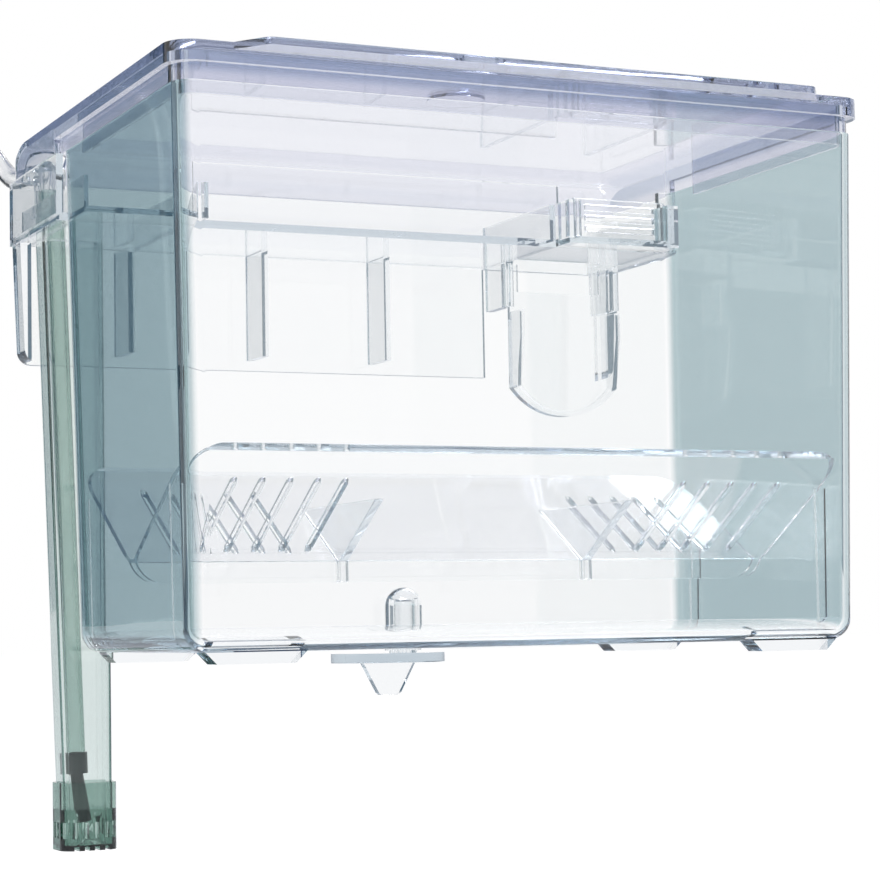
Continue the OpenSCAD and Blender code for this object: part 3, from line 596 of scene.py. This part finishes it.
def hose_route():
    """The hose's centreline from the elbow's shoulder to the valve, in metres."""
    turns = [k / COIL_STEPS for k in range(2 * COIL_TURNS * COIL_STEPS + 1)]
    coil = [coil_point(turn) for turn in turns]
    start = coil[0] + Vector((0, 0, 6))
    tail = coil[-1] - Vector((0, 0, COIL_TAIL))
    points = [HOSE_ROOT, *map(Vector, FREE_STRETCH), start, *coil, tail]
    return [point * MM for point in points]


def on_pipe():
    """The matrix of the air pipe's leaning axis."""
    return Matrix.Translation((PIPE_X, ELBOW.y, 0)) @ Matrix.Rotation(-PIPE_LEAN, 4, "Y")


def on_nipple():
    """The matrix of the elbow's nipple."""
    return Matrix.Translation(ELBOW) @ NIPPLE.to_track_quat("Z", "Y").to_matrix().to_4x4()


# Studio

CAMERA_PLACE = (-0.28197, -0.6584, -0.1139)
# Azimuth, elevation and roll of the camera, in degrees
CAMERA_TURN = (-24.937, -4.44, -1.072)
# Below the foot of the lift when it is pulled out
FLOOR_LEVEL = -0.216
SCREEN_HEADINGS = (-23, 112, 248)


# Operators


class BreederStage(bpy.types.Operator):
    """Sets the camera, the studio light and the floor"""

    bl_idname = "breeder.stage"
    bl_label = "Camera, light and floor"

    def execute(self, context):
        scene, c = context.scene, context.scene.breeder_colours
        camera = bpy.data.cameras.new("Camera")
        camera.sensor_width = 36
        camera.lens = 98.69
        camera.clip_start = 0.01
        camera.clip_end = 50
        scene.camera = placed("Camera", camera)
        azimuth, elevation, roll = map(math.radians, CAMERA_TURN)
        scene.camera.matrix_world = (
            Matrix.Translation(CAMERA_PLACE) @ Matrix.Rotation(azimuth, 4, "Z")
            @ Matrix.Rotation(math.pi / 2 - elevation, 4, "X") @ Matrix.Rotation(roll, 4, "Z")
        )

        world = bpy.data.worlds.new("Studio")
        scene.world = world
        tree = node_tree(world)
        direction = add_node(tree, "TexCoord")
        level = add_node(tree, "VectorMath", {0: direction, 1: (1, 1, 0)}, operation="MULTIPLY")
        level = add_node(tree, "VectorMath", {0: level}, operation="NORMALIZE")
        # Grey screens stand between the usual views, and clear edges pick them up
        nearest = None
        for heading in map(math.radians, SCREEN_HEADINGS):
            toward = (math.sin(heading), math.cos(heading), 0)
            dot = add_node(
                tree, "VectorMath", {0: level, 1: toward}, operation="DOT_PRODUCT"
            ).outputs["Value"]
            nearest = dot if nearest is None else add_node(
                tree, "Math", {0: nearest, 1: dot}, operation="MAXIMUM"
            )
        outer, inner = (math.cos(math.radians(angle)) for angle in (19, 11))
        screens = add_node(
            tree, "MapRange", {"Value": nearest, "From Min": outer, "From Max": inner},
            interpolation_type="SMOOTHSTEP",
        )
        height = add_node(tree, "SeparateXYZ", {0: direction}).outputs["Z"]
        ceiling = add_node(
            tree, "MapRange", {"Value": height, "From Min": 0.5, "From Max": 0.85, "To Max": 0.8},
            interpolation_type="SMOOTHSTEP",
        )
        white = room = (1, 1, 1, 1)
        for share, tone in ((screens, c.screens), (ceiling, c.ceiling)):
            room = add_node(
                tree, "Mix", {0: share, 6: room, 7: (*tone, 1)}, data_type="RGBA"
            ).outputs[2]
        path = add_node(tree, "LightPath").outputs
        seen, mirrored, light = (
            add_node(tree, "Background", {"Color": tone, "Strength": strength})
            for tone, strength in ((white, 1.0), (room, 1.0), (room, 0.75))
        )
        bent = add_node(
            tree, "Math", {0: path["Is Glossy Ray"], 1: path["Is Transmission Ray"]},
            operation="MAXIMUM",
        )
        lit = add_node(tree, "MixShader", {0: bent, 1: light, 2: mirrored})
        whole = add_node(tree, "MixShader", {0: path["Is Camera Ray"], 1: lit, 2: seen})
        add_node(tree, "OutputWorld", {"Surface": whole})

        bm = bmesh.new()
        bmesh.ops.create_grid(bm, x_segments=1, y_segments=1, size=12)
        ground = placed("Floor", mesh_of("Floor", shifted(bm, 0, 0, FLOOR_LEVEL)))
        # Matt paper: white to the eye, with a faint shadow
        paper = bpy.data.materials.new("White paper")
        tree = node_tree(paper)
        path = add_node(tree, "LightPath").outputs
        direct = add_node(
            tree, "Math", {0: path["Is Camera Ray"], 1: path["Is Transmission Ray"]},
            operation="MAXIMUM",
        )
        glow = add_node(tree, "Emission", {"Color": white, "Strength": 1.12})
        matt = add_node(tree, "BsdfDiffuse", {"Color": (*c.floor, 1)})
        share = add_node(tree, "Math", {0: direct, 1: 0.85}, operation="MULTIPLY")
        both = add_node(tree, "MixShader", {0: share, 1: matt, 2: glow})
        add_node(tree, "OutputMaterial", {"Surface": both})
        ground.data.materials.append(paper)

        for name, place, size, power in (
            ("Key softbox", (-0.5, -0.7, 0.75), 0.5, 7.0),
            ("Rim softbox", (0.6, 0.6, 0.6), 0.35, 3.5),
        ):
            lamp = bpy.data.lights.new(name, "AREA")
            lamp.shape = "SQUARE"
            lamp.size = size
            lamp.energy = power
            stand = placed(name, lamp)
            stand.location = place
            aim = Vector((0, -0.04, -0.05)) - Vector(place)
            stand.rotation_euler = aim.to_track_quat("-Z", "Y").to_euler()

        scene.view_settings.view_transform = "Standard"
        # Light passes many clear walls here, so its paths are long
        scene.cycles.max_bounces = 96
        scene.cycles.transmission_bounces = 96
        scene.cycles.transparent_max_bounces = 16
        scene.cycles.glossy_bounces = 96
        return {"FINISHED"}


class BreederAirline(bpy.types.Operator):
    """Lays the airline hose with its coil, tie and check valve"""

    bl_idname = "breeder.airline"
    bl_label = "Airline"

    def execute(self, context):
        s, look = measures(context), plastics(context)
        route = hose_route()
        line = bpy.data.curves.new("Hose line", "CURVE")
        line.dimensions = "3D"
        spline = line.splines.new("BEZIER")
        spline.bezier_points.add(len(route) - 1)
        for point, place in zip(spline.bezier_points, route):
            point.co = place
            point.handle_left_type = point.handle_right_type = "AUTO"
        spline.resolution_u = 3
        line.bevel_depth = s.hose / 2 * MM
        line.bevel_resolution = 4
        holder = placed("Hose line", line)
        depsgraph = context.evaluated_depsgraph_get()
        mesh = bpy.data.meshes.new_from_object(holder.evaluated_get(depsgraph))
        mesh.name = "airline_hose_tube"
        bpy.data.objects.remove(holder)
        bpy.data.curves.remove(line)
        mesh.shade_smooth()
        mesh.materials.clear()
        mesh.materials.append(look["hose"][1])
        hose = placed("airline_hose_tube", mesh)
        wall = hose.modifiers.new("Hose wall", "SOLIDIFY")
        wall.thickness = s.hose_wall * MM
        wall.offset = -1
        # The coil beside the box stays out of the end wall's reflections
        hose.visible_glossy = False
        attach(hose, "box")
        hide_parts("airline_hose", "airline_coil")

        tie_low, tie_high = span("hose_tie")
        tie = less(
            sliced(
                round_slab("Z", tie_low.z, tie_high.z, tie_low, tie_high, 3),
                (tie_low.x + tie_high.x) / 2,
            ),
            round_slab(
                "Z", tie_low.z - PAST, tie_high.z + PAST, tie_low + Vector((1.2, 1.2, 0)),
                tie_high - Vector((1.2, 1.2, 0)), 1.8,
            ),
        )
        tie = piece("hose_tie_band", tie, "box", look["jet"], "hose_tie", 0.3)

        # The valve hangs by the shoulder of its upper nipple
        shoulder = 13
        rim = route[-1] / MM - Vector((0, 0, shoulder))
        for name, node, kind, tip, turn, level in (
            ("valve_outlet_cap", "valve_outlet_half", "outlet", shoulder + 5, 0, 0),
            ("valve_inlet_cap", "valve_inlet_half", "inlet", shoulder + 10, math.pi, -0.8),
        ):
            half = turned([
                (5.85, 0), (7.25, 0), (7.25, 1.6), (6.95, 1.9), (6.95, 3.1), (7.25, 3.4),
                (7.25, 4.7), (6.9, 5), (3.6, 7.6), (3.2, 8.2), (3.2, shoulder), (2.1, shoulder),
                (2.1, tip - 0.6), (1.8, tip), (1.05, tip), (1.05, 4.9), (1.4, 4.5), (5.85, 4.5),
            ])
            shifted(moved(half, Matrix.Rotation(turn, 4, "X")), rim.x, rim.y, rim.z + level)
            piece(name, half, "box", look[kind], node, angle=28)
        flap = shifted(
            turned([(0, -0.77), (6.2, -0.77), (6.4, -0.6), (6.4, -0.2), (6.2, -0.03), (0, -0.03)]),
            *rim,
        )
        piece("valve_flap_disc", flap, "box", look["flap"], "valve_flap")
        return {"FINISHED"}


class BreederWaterBox(bpy.types.Operator):
    """Builds the water box with its feet, tray rails, guard posts and stem boss"""

    bl_idname = "breeder.water_box"
    bl_label = "Water box"

    def execute(self, context):
        s, look = measures(context), plastics(context)
        shell = leaning(s, s.half_w, s.half_d, s.floor_z, s.rim, s.corner)
        hollow = leaning(
            s, s.half_w - s.wall, s.half_d - s.wall, s.floor_top, s.rim + 2 * s.corner,
            s.inner_corner,
        )
        foot_x, foot_y = s.half_w - 18, s.half_d - 7
        hollow = sliced(hollow, 0)
        shell = less(sliced(shell, -foot_x, 0, foot_x), hollow)
        # The rails stop just under the tray's slopes
        rail = 1.3
        rail_y = s.tray_d - 11
        rail_top = s.valley_z + s.slope * (rail_y - rail / 2 - s.valley_half) - s.panel_drop - 0.3
        rail_x = s.half_w - s.wall - 2.2
        ends = [(side, end) for side in (-1, 1) for end in (-1, 1)]
        rails = [
            box_of(
                (side * rail_x, s.mid_y + end * rail_y - rail / 2, s.floor_top - 0.5),
                (side * (s.half_w - s.wall / 2), s.mid_y + end * rail_y + rail / 2, rail_top),
            )
            for side, end in ends
        ]
        root, tread = 14, 13 - s.foot
        feet = [
            shifted(
                slab("Y", -3.5, 3.5, [
                    (-root, 1), (-tread, -s.foot), (tread, -s.foot), (root, 1),
                ]),
                side * foot_x, s.mid_y + end * foot_y, s.floor_z,
            )
            for side, end in ends
        ]
        # The guard's posts and sill grow out of the rear wall
        post_half, post_top = 2, 13
        ledge = (s.back_y - 11, s.back_y - s.wall / 2)
        groove_y = (s.guard_low.y - 0.2, s.guard_high.y + 0.2)
        posts = []
        for side in (-1, 1):
            x = s.outlet_x + side * (s.outlet_half - 0.75)
            posts.append(less(
                block(x, post_half, ledge, (0, post_top)),
                block(x - side * post_half, 1.2, groove_y, (s.bridge, post_top + PAST)),
            ))
        sill = block(s.outlet_x, s.outlet_half, ledge, (0, s.bridge - 0.3))
        boss_y = s.mid_y + s.half_d - s.wall - 3.35
        boss_r, boss_top = 5.25, 11.45
        dome = [
            (boss_r * math.cos(k * math.pi / 20), boss_top + boss_r * math.sin(k * math.pi / 20))
            for k in range(1, 10)
        ]
        boss = shifted(
            turned([(0, -s.floor / 2), (boss_r, -s.floor / 2), (boss_r, boss_top), *dome,
                    (0, boss_top + boss_r)]),
            0, boss_y, s.floor_z,
        )
        shell = union(shell, pooled(*rails), pooled(*feet), posts[0], posts[1], sill, boss)
        bore_r, bore_top = 2.65, 12.85
        bore = shifted(tube(bore_r, 0, -PAST - s.foot, bore_top), 0, boss_y, s.floor_z)
        notch = box_of(
            (s.trough_low.x - SKIN, s.back_y - s.wall - s.inner_corner, -SKIN),
            (s.trough_high.x + SKIN, s.back_y + PAST, s.rim + PAST),
        )
        outlet = block(
            s.outlet_x, s.outlet_half, (s.back_y - s.wall - PAST, s.back_y + PAST),
            (s.bridge, s.rim + PAST),
        )
        shell = less(shell, bore, notch, outlet)
        piece("water_box", shell, "box", look["box"], "box_shell", s.edge)
        return {"FINISHED"}


class BreederHanger(bpy.types.Operator):
    """Builds the hanger: bridge, cheeks, rear apron, ribs and outlet channel"""

    bl_idname = "breeder.hanger"
    bl_label = "Hanger"

    def execute(self, context):
        s, look = measures(context), plastics(context)
        low_x = s.hang_x - LEAN * (s.rim - s.apron_low) - 1

        def apron(front):
            return slab(
                "Y", front, s.rear_y,
                [(-s.hang_x, s.rim), (-low_x, s.apron_low), (low_x, s.apron_low),
                 (s.hang_x, s.rim)],
                {1: 4, 2: 4},
            )

        deep = s.apron_y - 6.8
        side_x = s.hang_x - s.hanger
        saddle = less(
            apron(deep),
            block(0, side_x - 2, (deep - PAST, s.apron_y), (s.apron_low - PAST, s.rim + PAST)),
            block(0, side_x, (deep - PAST, s.apron_y), (0, s.rim + PAST)),
        )
        bridge = block(0, s.hang_x - 1, (s.back_y - 1, s.rear_y - 0.5), (0, s.bridge))
        cheeks = pooled(*[
            box_of((side * side_x, s.back_y - 1, 0), (side * s.hang_x, s.rear_y - 0.01, s.rim))
            for side in (-1, 1)
        ])
        ribs = pooled(*[
            block(share * 2 * s.half_w, 1, (s.rib_y, s.rear_y - 1), (s.apron_low + 3, 0.5))
            for share in (-0.348, -0.137, 0.074)
        ])
        cheek = 1.25
        channel = [
            block(s.outlet_x + side * (s.outlet_half + cheek), cheek,
                  (front, s.apron_y + 0.5), levels)
            for side in (-1, 1)
            for front, levels in ((s.back_y - 1, (0.2, 13)), (s.rib_y - 2.5, (-14, 0.5)))
        ]
        # The trough's seat and the outlet's fall are cut while the bridge is still alone
        seat = box_of(
            (s.trough_low.x - SKIN, s.back_y - 2, -PAST),
            (s.trough_high.x + SKIN, s.rear_y + PAST, s.rim + PAST),
        )
        fall = block(
            s.outlet_x, s.outlet_half + cheek, (s.rib_y - 7.5, s.rear_y + PAST),
            (-PAST, s.bridge + PAST),
        )
        bridge = less(bridge, seat.copy(), fall)
        saddle = union(saddle, cheeks, bridge, less(ribs, seat), *channel)
        body = leaning(
            s, s.half_w + SKIN, s.half_d + SKIN, s.floor_z, s.rim + 2 * s.corner, s.corner
        )
        window = block(
            s.outlet_x, s.outlet_half + 2.7, (s.apron_y - PAST, s.rear_y + PAST),
            (s.apron_low - PAST, -0.2),
        )
        grooves = box_of(
            (s.scoop_low.x - 1.2, s.rib_y - 0.2, -15), (s.scoop_high.x + 1.2, s.rib_y + 1.7, -0.2)
        )
        notch = box_of(
            (ELBOW.x - 6, s.apron_y - PAST, s.rim - 1.6),
            (ELBOW.x + 4, s.rear_y + PAST, s.rim + PAST),
        )
        saddle = less(saddle, body, window, grooves, notch)
        piece("hanger", saddle, "box", look["clear"], "hanger_saddle", s.edge)
        return {"FINISHED"}


class BreederLid(bpy.types.Operator):
    """Builds the lid with its bead, curved rear edge, finger lip and hose slot"""

    bl_idname = "breeder.lid"
    bl_label = "Lid"

    def execute(self, context):
        s, look = measures(context), plastics(context)
        nose_z = s.lid_top - s.nose
        plan = s.corner + (s.hang_x - out_x(s, s.rim))

        def form(half_w, y_front, inset, z_low):
            side = slab(
                "X", -half_w, half_w,
                rect((y_front, z_low), (s.rear_y - inset, s.lid_top - inset)),
                {2: s.nose - inset}, 20,
            )
            footprint = round_slab(
                "Z", z_low - PAST, s.lid_top + PAST, (-half_w, y_front),
                (half_w, s.rear_y - inset), plan - inset, 10,
            )
            return common(side, footprint)

        skirt_x = out_x(s, s.rim) + 0.1
        skirt_y = s.mid_y - out_y(s, s.rim) - 0.1
        rest = s.rim + 0.05

        def beside(inset, y_back, z_low, z_high):
            """All that lies in front of y_back and outside the skirt's outline."""
            outline = round_slab(
                "Z", z_low - PAST, z_high + PAST, (inset - skirt_x, skirt_y + inset),
                (skirt_x - inset, s.rear_y), plan - inset, 10,
            )
            return less(
                block(0, s.hang_x + 2, (s.lid_front - 2, y_back), (z_low, z_high)), outline
            )

        shell = less(
            common(
                form(s.hang_x, s.lid_front, 0, nose_z - PAST),
                block(0, s.hang_x + 2, (s.lid_front - 2, s.rear_y + 2), (rest, s.lid_top + 2)),
            ),
            beside(0, s.back_y + 0.2, rest - PAST, s.lid_top - s.bead),
        )
        lip_root, lip_end = 84.5, 77.5
        lip = slab("Z", s.lid_top - s.lid, s.lid_top, [
            (-lip_root, s.lid_front + 1), (-lip_end, s.lid_front - s.lip),
            (lip_end, s.lid_front - s.lip), (lip_root, s.lid_front + 1),
        ], {1: 3, 2: 3})
        hollow = less(
            form(s.hang_x - s.lid, skirt_y, s.lid, nose_z - 2 * PAST),
            beside(s.lid, s.back_y + 0.2 + s.lid, nose_z - 3 * PAST, s.lid_top),
        )
        slot_front = ELBOW.y - 5
        slot = slab(
            "Z", 0, s.lid_top + PAST,
            rect((ELBOW.x - 6, slot_front), (ELBOW.x + 4, s.rear_y + PAST)), {0: 4.99, 1: 4.99}, 12,
        )
        mark_x = -0.102 * s.half_w
        lid = less(union(shell, lip), sliced(hollow, mark_x), slot)
        flange_x = out_x(s, s.rim) - s.wall - 0.3
        flange_y = out_y(s, s.rim) - s.wall - 0.3

        def within(inset, z_low, z_high):
            return round_slab(
                "Z", z_low, z_high, (inset - flange_x, s.mid_y - flange_y + inset),
                (flange_x - inset, s.mid_y + flange_y - inset), s.inner_corner - inset,
            )

        flange = less(
            within(0, s.rim - 3, s.lid_top - s.lid / 2), within(1.2, s.rim - 4, s.lid_top),
            block(0, s.hang_x, (s.guard_low.y - 9.3, s.rear_y), (0, s.lid_top + PAST)),
        )
        mark = shifted(
            tube(7.8, 0, s.lid_top - s.lid - 0.8, s.lid_top - s.lid / 2),
            mark_x, s.mid_y - 0.408 * s.half_d, 0,
        )
        lid = union(lid, flange, mark)
        piece("lid_cover", lid, "lid", look["lid"], "lid", 0.4, 3)
        return {"FINISHED"}


class BreederTray(bpy.types.Operator):
    """Builds the slotted fry tray"""

    bl_idname = "breeder.tray"
    bl_label = "Fry tray"

    def execute(self, context):
        s, look = measures(context), plastics(context)
        near, far = s.valley_half, s.tray_d
        knee = s.valley_z + s.slope * s.panel - s.panel_drop
        first = 36.5 + s.gusset / 2 + 11.3
        tray_edge = 0.35
        spots = [side * (first + k * s.pitch) for side in (-1, 1) for k in range(5)]
        for name, node, turn in (
            ("tray_front_slope", "tray_front_panel", math.pi),
            ("tray_rear_slope", "tray_rear_panel", 0),
        ):
            form = slab("X", -s.tray_w, s.tray_w, [
                (near + SKIN, s.tray_low), (near + s.panel, s.tray_low), (near + s.panel, knee),
                (far, s.tray_top - s.panel_drop), (far, s.tray_top), (near + SKIN, s.valley_z),
            ])
            form = common(
                form,
                round_slab("Y", -PAST, far + PAST, (-s.tray_w, s.tray_low),
                           (s.tray_w, s.tray_top), 8, 10),
            )
            slots = pooled(*[
                round_slab(
                    "Z", s.tray_low, s.tray_top, (spot - s.slot / 2, near + 6 - s.slot / 2),
                    (spot + s.slot / 2, far - 12 + s.slot / 2), s.slot / 2 - 0.01, 5,
                )
                for spot in spots
            ])
            form = less(sliced(form, *spots), slots)
            moved(form, Matrix.Translation((0, s.mid_y, 0)) @ Matrix.Rotation(turn, 4, "Z"))
            piece(name, form, "fry_tray", look["clear"], node, tray_edge)
        for name, node in (
            ("tray_left_gusset", "tray_gusset_left"), ("tray_right_gusset", "tray_gusset_right")
        ):
            low, high = span(node)
            form = slab("X", low.x, high.x, [
                (low.y, high.z), (s.mid_y - near, s.valley_z), (s.mid_y - near, s.tray_low),
                (s.mid_y + near, s.tray_low), (s.mid_y + near, s.valley_z), (high.y, high.z),
            ])
            piece(name, form, "fry_tray", look["clear"], node, tray_edge)
        return {"FINISHED"}


class BreederLift(bpy.types.Operator):
    """Builds the water lift: trough, duct, strainer, air pipe, jet and elbow"""

    bl_idname = "breeder.lift"
    bl_label = "Water lift"

    def execute(self, context):
        s, look = measures(context), plastics(context)
        low, high = s.trough_low, s.trough_high
        right, top_w = s.duct_high.x, s.duct_high.x - s.duct_low.x
        half_d = (s.duct_high.y - s.duct_low.y) / 2
        foot_w = top_w - PIPE_SLOPE * (s.duct_high.z - s.duct_low.z)
        hole = round_slab(
            "Z", -PAST, 3, (right - top_w - 0.1, s.duct_y - half_d - 0.1),
            (right + 0.1, s.duct_y + half_d + 0.1), 3.5,
        )
        trough = less(
            sliced(box_of(low, high), right - top_w / 2),
            box_of((low.x + s.duct, low.y - PAST, 1.6),
                   (high.x - s.duct, high.y - s.duct, high.z + PAST)),
            hole,
            box_of((low.x + s.duct, high.y - s.duct - PAST, 1.6),
                   (right + 1, high.y - 0.4, high.z + PAST)),
        )
        piece("trough", trough, "box", look["clear"], "intake_trough", s.edge)

        def tapered(inset, past):
            z_low, z_high = s.duct_low.z - past, s.duct_high.z + past
            wide = top_w + PIPE_SLOPE * past
            form = round_slab(
                "Z", z_low, z_high, (right - wide + inset, s.duct_y - half_d + inset),
                (right - inset, s.duct_y + half_d - inset), 3.4 - inset, 8,
            )
            narrow = top_w - PIPE_SLOPE * (s.duct_high.z - z_low)
            share = (narrow - 2 * inset) / (wide - 2 * inset)
            for vert in form.verts:
                if vert.co.z < (z_low + z_high) / 2:
                    vert.co.x = right - inset - share * (right - inset - vert.co.x)
            return form

        duct = less(sliced(tapered(0, 0), right - foot_w / 2), tapered(s.duct, PAST))
        piece("lift_duct", duct, "uptake", look["duct"], "uptake_duct", s.edge)

        cup_low, cup_high = s.cup_low, s.cup_high
        centre = (cup_low + cup_high) / 2
        half = (cup_high - cup_low) / 2
        cup = sliced(
            round_slab("Z", cup_low.z, cup_high.z, cup_low, cup_high, 4.5, 10), centre.x
        )
        bore_x, bore_y = foot_w / 2 - 0.8, half_d - 0.8
        grip_x, grip_y = foot_w / 2 + 0.35, half_d + 0.2
        cuts = [
            round_slab("Z", cup_low.z + 1.5, cup_high.z + PAST,
                       (centre.x - bore_x, centre.y - bore_y),
                       (centre.x + bore_x, centre.y + bore_y), 2.6),
            sliced(round_slab("Z", cup_high.z - 7.6, cup_high.z + PAST,
                              (centre.x - grip_x, centre.y - grip_y),
                              (centre.x + grip_x, centre.y + grip_y), 3.35), centre.x),
        ]
        # Four slits each way through the cup's walls, and four across its base
        middle = Vector((centre.x, centre.y, cup_low.z))
        for across, along, width, low_z, high_z in (
            ("X", "Y", 1.2, 3.4, 8), ("Y", "X", 1.2, 3.4, 8), ("X", "Y", 1.4, -PAST, 1.2)
        ):
            corner = AXES[across] * width / 2 + AXES[along] * (half.y + 2)
            cuts.append(pooled(*[
                shifted(
                    box_of(AXES["Z"] * low_z - corner, AXES["Z"] * high_z + corner),
                    *(middle + AXES[across] * (k - 1.5) * 3),
                )
                for k in range(4)
            ]))
        cup = less(cup, *cuts)
        piece("strainer", cup, "strainer", look["strainer"], "strainer_cup", 0.25)

        radius, bore = s.pipe / 2, 1.8
        foot_z = s.duct_low.z + 13
        pipe = moved(tube(radius, bore, foot_z, ELBOW.z - 5), on_pipe())
        piece("air_tube", pipe, "box", look["pipe"], "air_pipe", 0.2)

        collar = tube(radius + 0.55, bore, foot_z - 3, foot_z + 3)
        socket = tube(radius + 0.03, 0, foot_z, foot_z + 4)
        tip = moved(
            tube(2, 1, -14, 0.5),
            Matrix.Translation((0, 0, foot_z - 3)) @ Matrix.Rotation(math.radians(-8), 4, "Y"),
        )
        jet = moved(union(less(collar, socket), tip), on_pipe())
        piece("jet", jet, "box", look["jet"], "air_jet", 0.2)

        knee = 4
        socket = moved(tube(knee, 0, ELBOW.z - 13, ELBOW.z), on_pipe())
        shoulder = moved(tube(s.hose / 2 + 0.2, 0, 0, 5), on_nipple())
        nipple = moved(tube(2.1, 0, 0, 10), on_nipple())
        elbow = less(
            union(socket, ball(knee, ELBOW), shoulder, nipple),
            moved(tube(radius + 0.02, 0, ELBOW.z - 14, ELBOW.z - 5), on_pipe()),
            moved(tube(1.2, 0, 0.5, 11), on_nipple()),
            moved(tube(1.5, 0, ELBOW.z - 6, ELBOW.z + 0.5), on_pipe()),
        )
        piece("hose_elbow", elbow, "box", look["clear"], "air_elbow", 0.2)
        return {"FINISHED"}


class BreederOutlet(bpy.types.Operator):
    """Builds the outlet's scoop and its guard"""

    bl_idname = "breeder.outlet"
    bl_label = "Outlet"

    def execute(self, context):
        s, look = measures(context), plastics(context)
        low, high = s.scoop_low, s.scoop_high
        half = (high.x - low.x) / 2
        big = 1.25 * half

        def outline(inset, y_low, y_high):
            hw, radius = half - inset, big - inset
            centre = Vector((s.outlet_x, (y_low + y_high) / 2, big + low.z))
            side_z = centre.z - math.sqrt(radius ** 2 - hw ** 2)
            disc = moved(
                tube(radius, 0, -15, 15, 128),
                Matrix.Translation(centre) @ Matrix.Rotation(math.pi / 2, 4, "X"),
            )
            corners = block(
                s.outlet_x, hw + 3, (centre.y - 12, centre.y + 12), (centre.z - 2 * radius, side_z)
            )
            blank = block(s.outlet_x, hw, (y_low, y_high), (low.z - PAST, high.z + inset))
            return less(blank, less(corners, disc))

        wall, open_z, chin_z = 1.5, -15.5, -23.5
        inner_y = high.y - wall
        scoop = less(
            outline(0, low.y, high.y),
            outline(wall, low.y - PAST, inner_y),
            block(s.outlet_x, half + 5, (low.y - PAST, inner_y), (open_z, PAST)),
            slab("X", low.x - 5, high.x + 5, [
                (low.y - PAST, chin_z), (low.y - PAST, low.z - PAST),
                (high.y - 3.5, low.z - PAST), (low.y, chin_z),
            ]),
            block(s.outlet_x, half - 3, (inner_y - PAST, high.y + PAST), (-9, PAST)),
        )
        piece("scoop", scoop, "scoop", look["clear"], "outlet_scoop", s.edge)

        low, high = s.guard_low, s.guard_high
        # Three gaps between the guard's slats
        gap, slat, foot = 1.6, 1.6, low.z + 1.9
        windows = pooled(*[
            box_of((low.x + 4, low.y - PAST, foot + k * (gap + slat)),
                   (high.x - 4, high.y + PAST, foot + k * (gap + slat) + gap))
            for k in range(3)
        ])
        guard = less(sliced(box_of(low, high), s.outlet_x), windows)
        piece("guard_grille", guard, "guard", look["clear"], "outlet_guard", 0.25)
        return {"FINISHED"}


class BreederLeveller(bpy.types.Operator):
    """Builds the levelling cam under the floor"""

    bl_idname = "breeder.leveller"
    bl_label = "Leveller"

    def execute(self, context):
        s, look = measures(context), plastics(context)
        low, high = s.cam_low, s.cam_high
        disc_r = (high.x - low.x) / 2
        disc_y = high.y - disc_r
        stem_y = disc_y - 11
        top = s.floor_z - 2
        stem_r, collar_r, plate = 2.6, 4, 2.7
        stem = shifted(tube(stem_r, 0, top - 1, high.z), 0, stem_y, 0)
        collar = shifted(tube(collar_r, 0, top - 0.5, top + 1.7), 0, stem_y, 0)
        disc = shifted(tube(disc_r, 0, top - plate, top, 96), 0, disc_y, 0)
        grip_root, grip_end = 8.25, 3.15
        grip = slab("Y", disc_y - 1.3, disc_y + 1.3, [
            (-grip_root, top - 2), (-grip_root, top - plate), (-grip_end, low.z),
            (grip_end, low.z), (grip_root, top - plate), (grip_root, top - 2),
        ], {2: 1.5, 3: 1.5})
        cam = union(disc, collar, stem, grip)
        piece("levelling_cam", cam, "leveller", look["cam"], "leveller_cam", s.edge)
        return {"FINISHED"}


OPERATORS = (
    BreederStage, BreederAirline, BreederWaterBox, BreederHanger, BreederLid, BreederTray,
    BreederLift, BreederOutlet, BreederLeveller,
)


class BreederPanel(bpy.types.Panel):
    """Lists the steps that build the breeding box"""

    bl_idname = "VIEW3D_PT_breeder"
    bl_label = "Breeding Box"
    bl_space_type = "VIEW_3D"
    bl_region_type = "UI"
    bl_category = "Breeding Box"

    def draw(self, context):
        for operator in OPERATORS:
            self.layout.operator(operator.bl_idname)
        for group in (context.scene.breeder_sizes, context.scene.breeder_colours):
            column = self.layout.column()
            for name in type(group).__annotations__:
                column.prop(group, name)


CLASSES = (BreederSizes, BreederColours, *OPERATORS, BreederPanel)


def register():
    for cls in CLASSES:
        bpy.utils.register_class(cls)
    bpy.types.Scene.breeder_sizes = bpy.props.PointerProperty(type=BreederSizes)
    bpy.types.Scene.breeder_colours = bpy.props.PointerProperty(type=BreederColours)


def unregister():
    del bpy.types.Scene.breeder_colours
    del bpy.types.Scene.breeder_sizes
    for cls in reversed(CLASSES):
        bpy.utils.unregister_class(cls)


def main():
    """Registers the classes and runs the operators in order."""
    register()
    for operator in OPERATORS:
        group, name = operator.bl_idname.split(".")
        getattr(getattr(bpy.ops, group), name)()


if __name__ == "__main__":
    main()
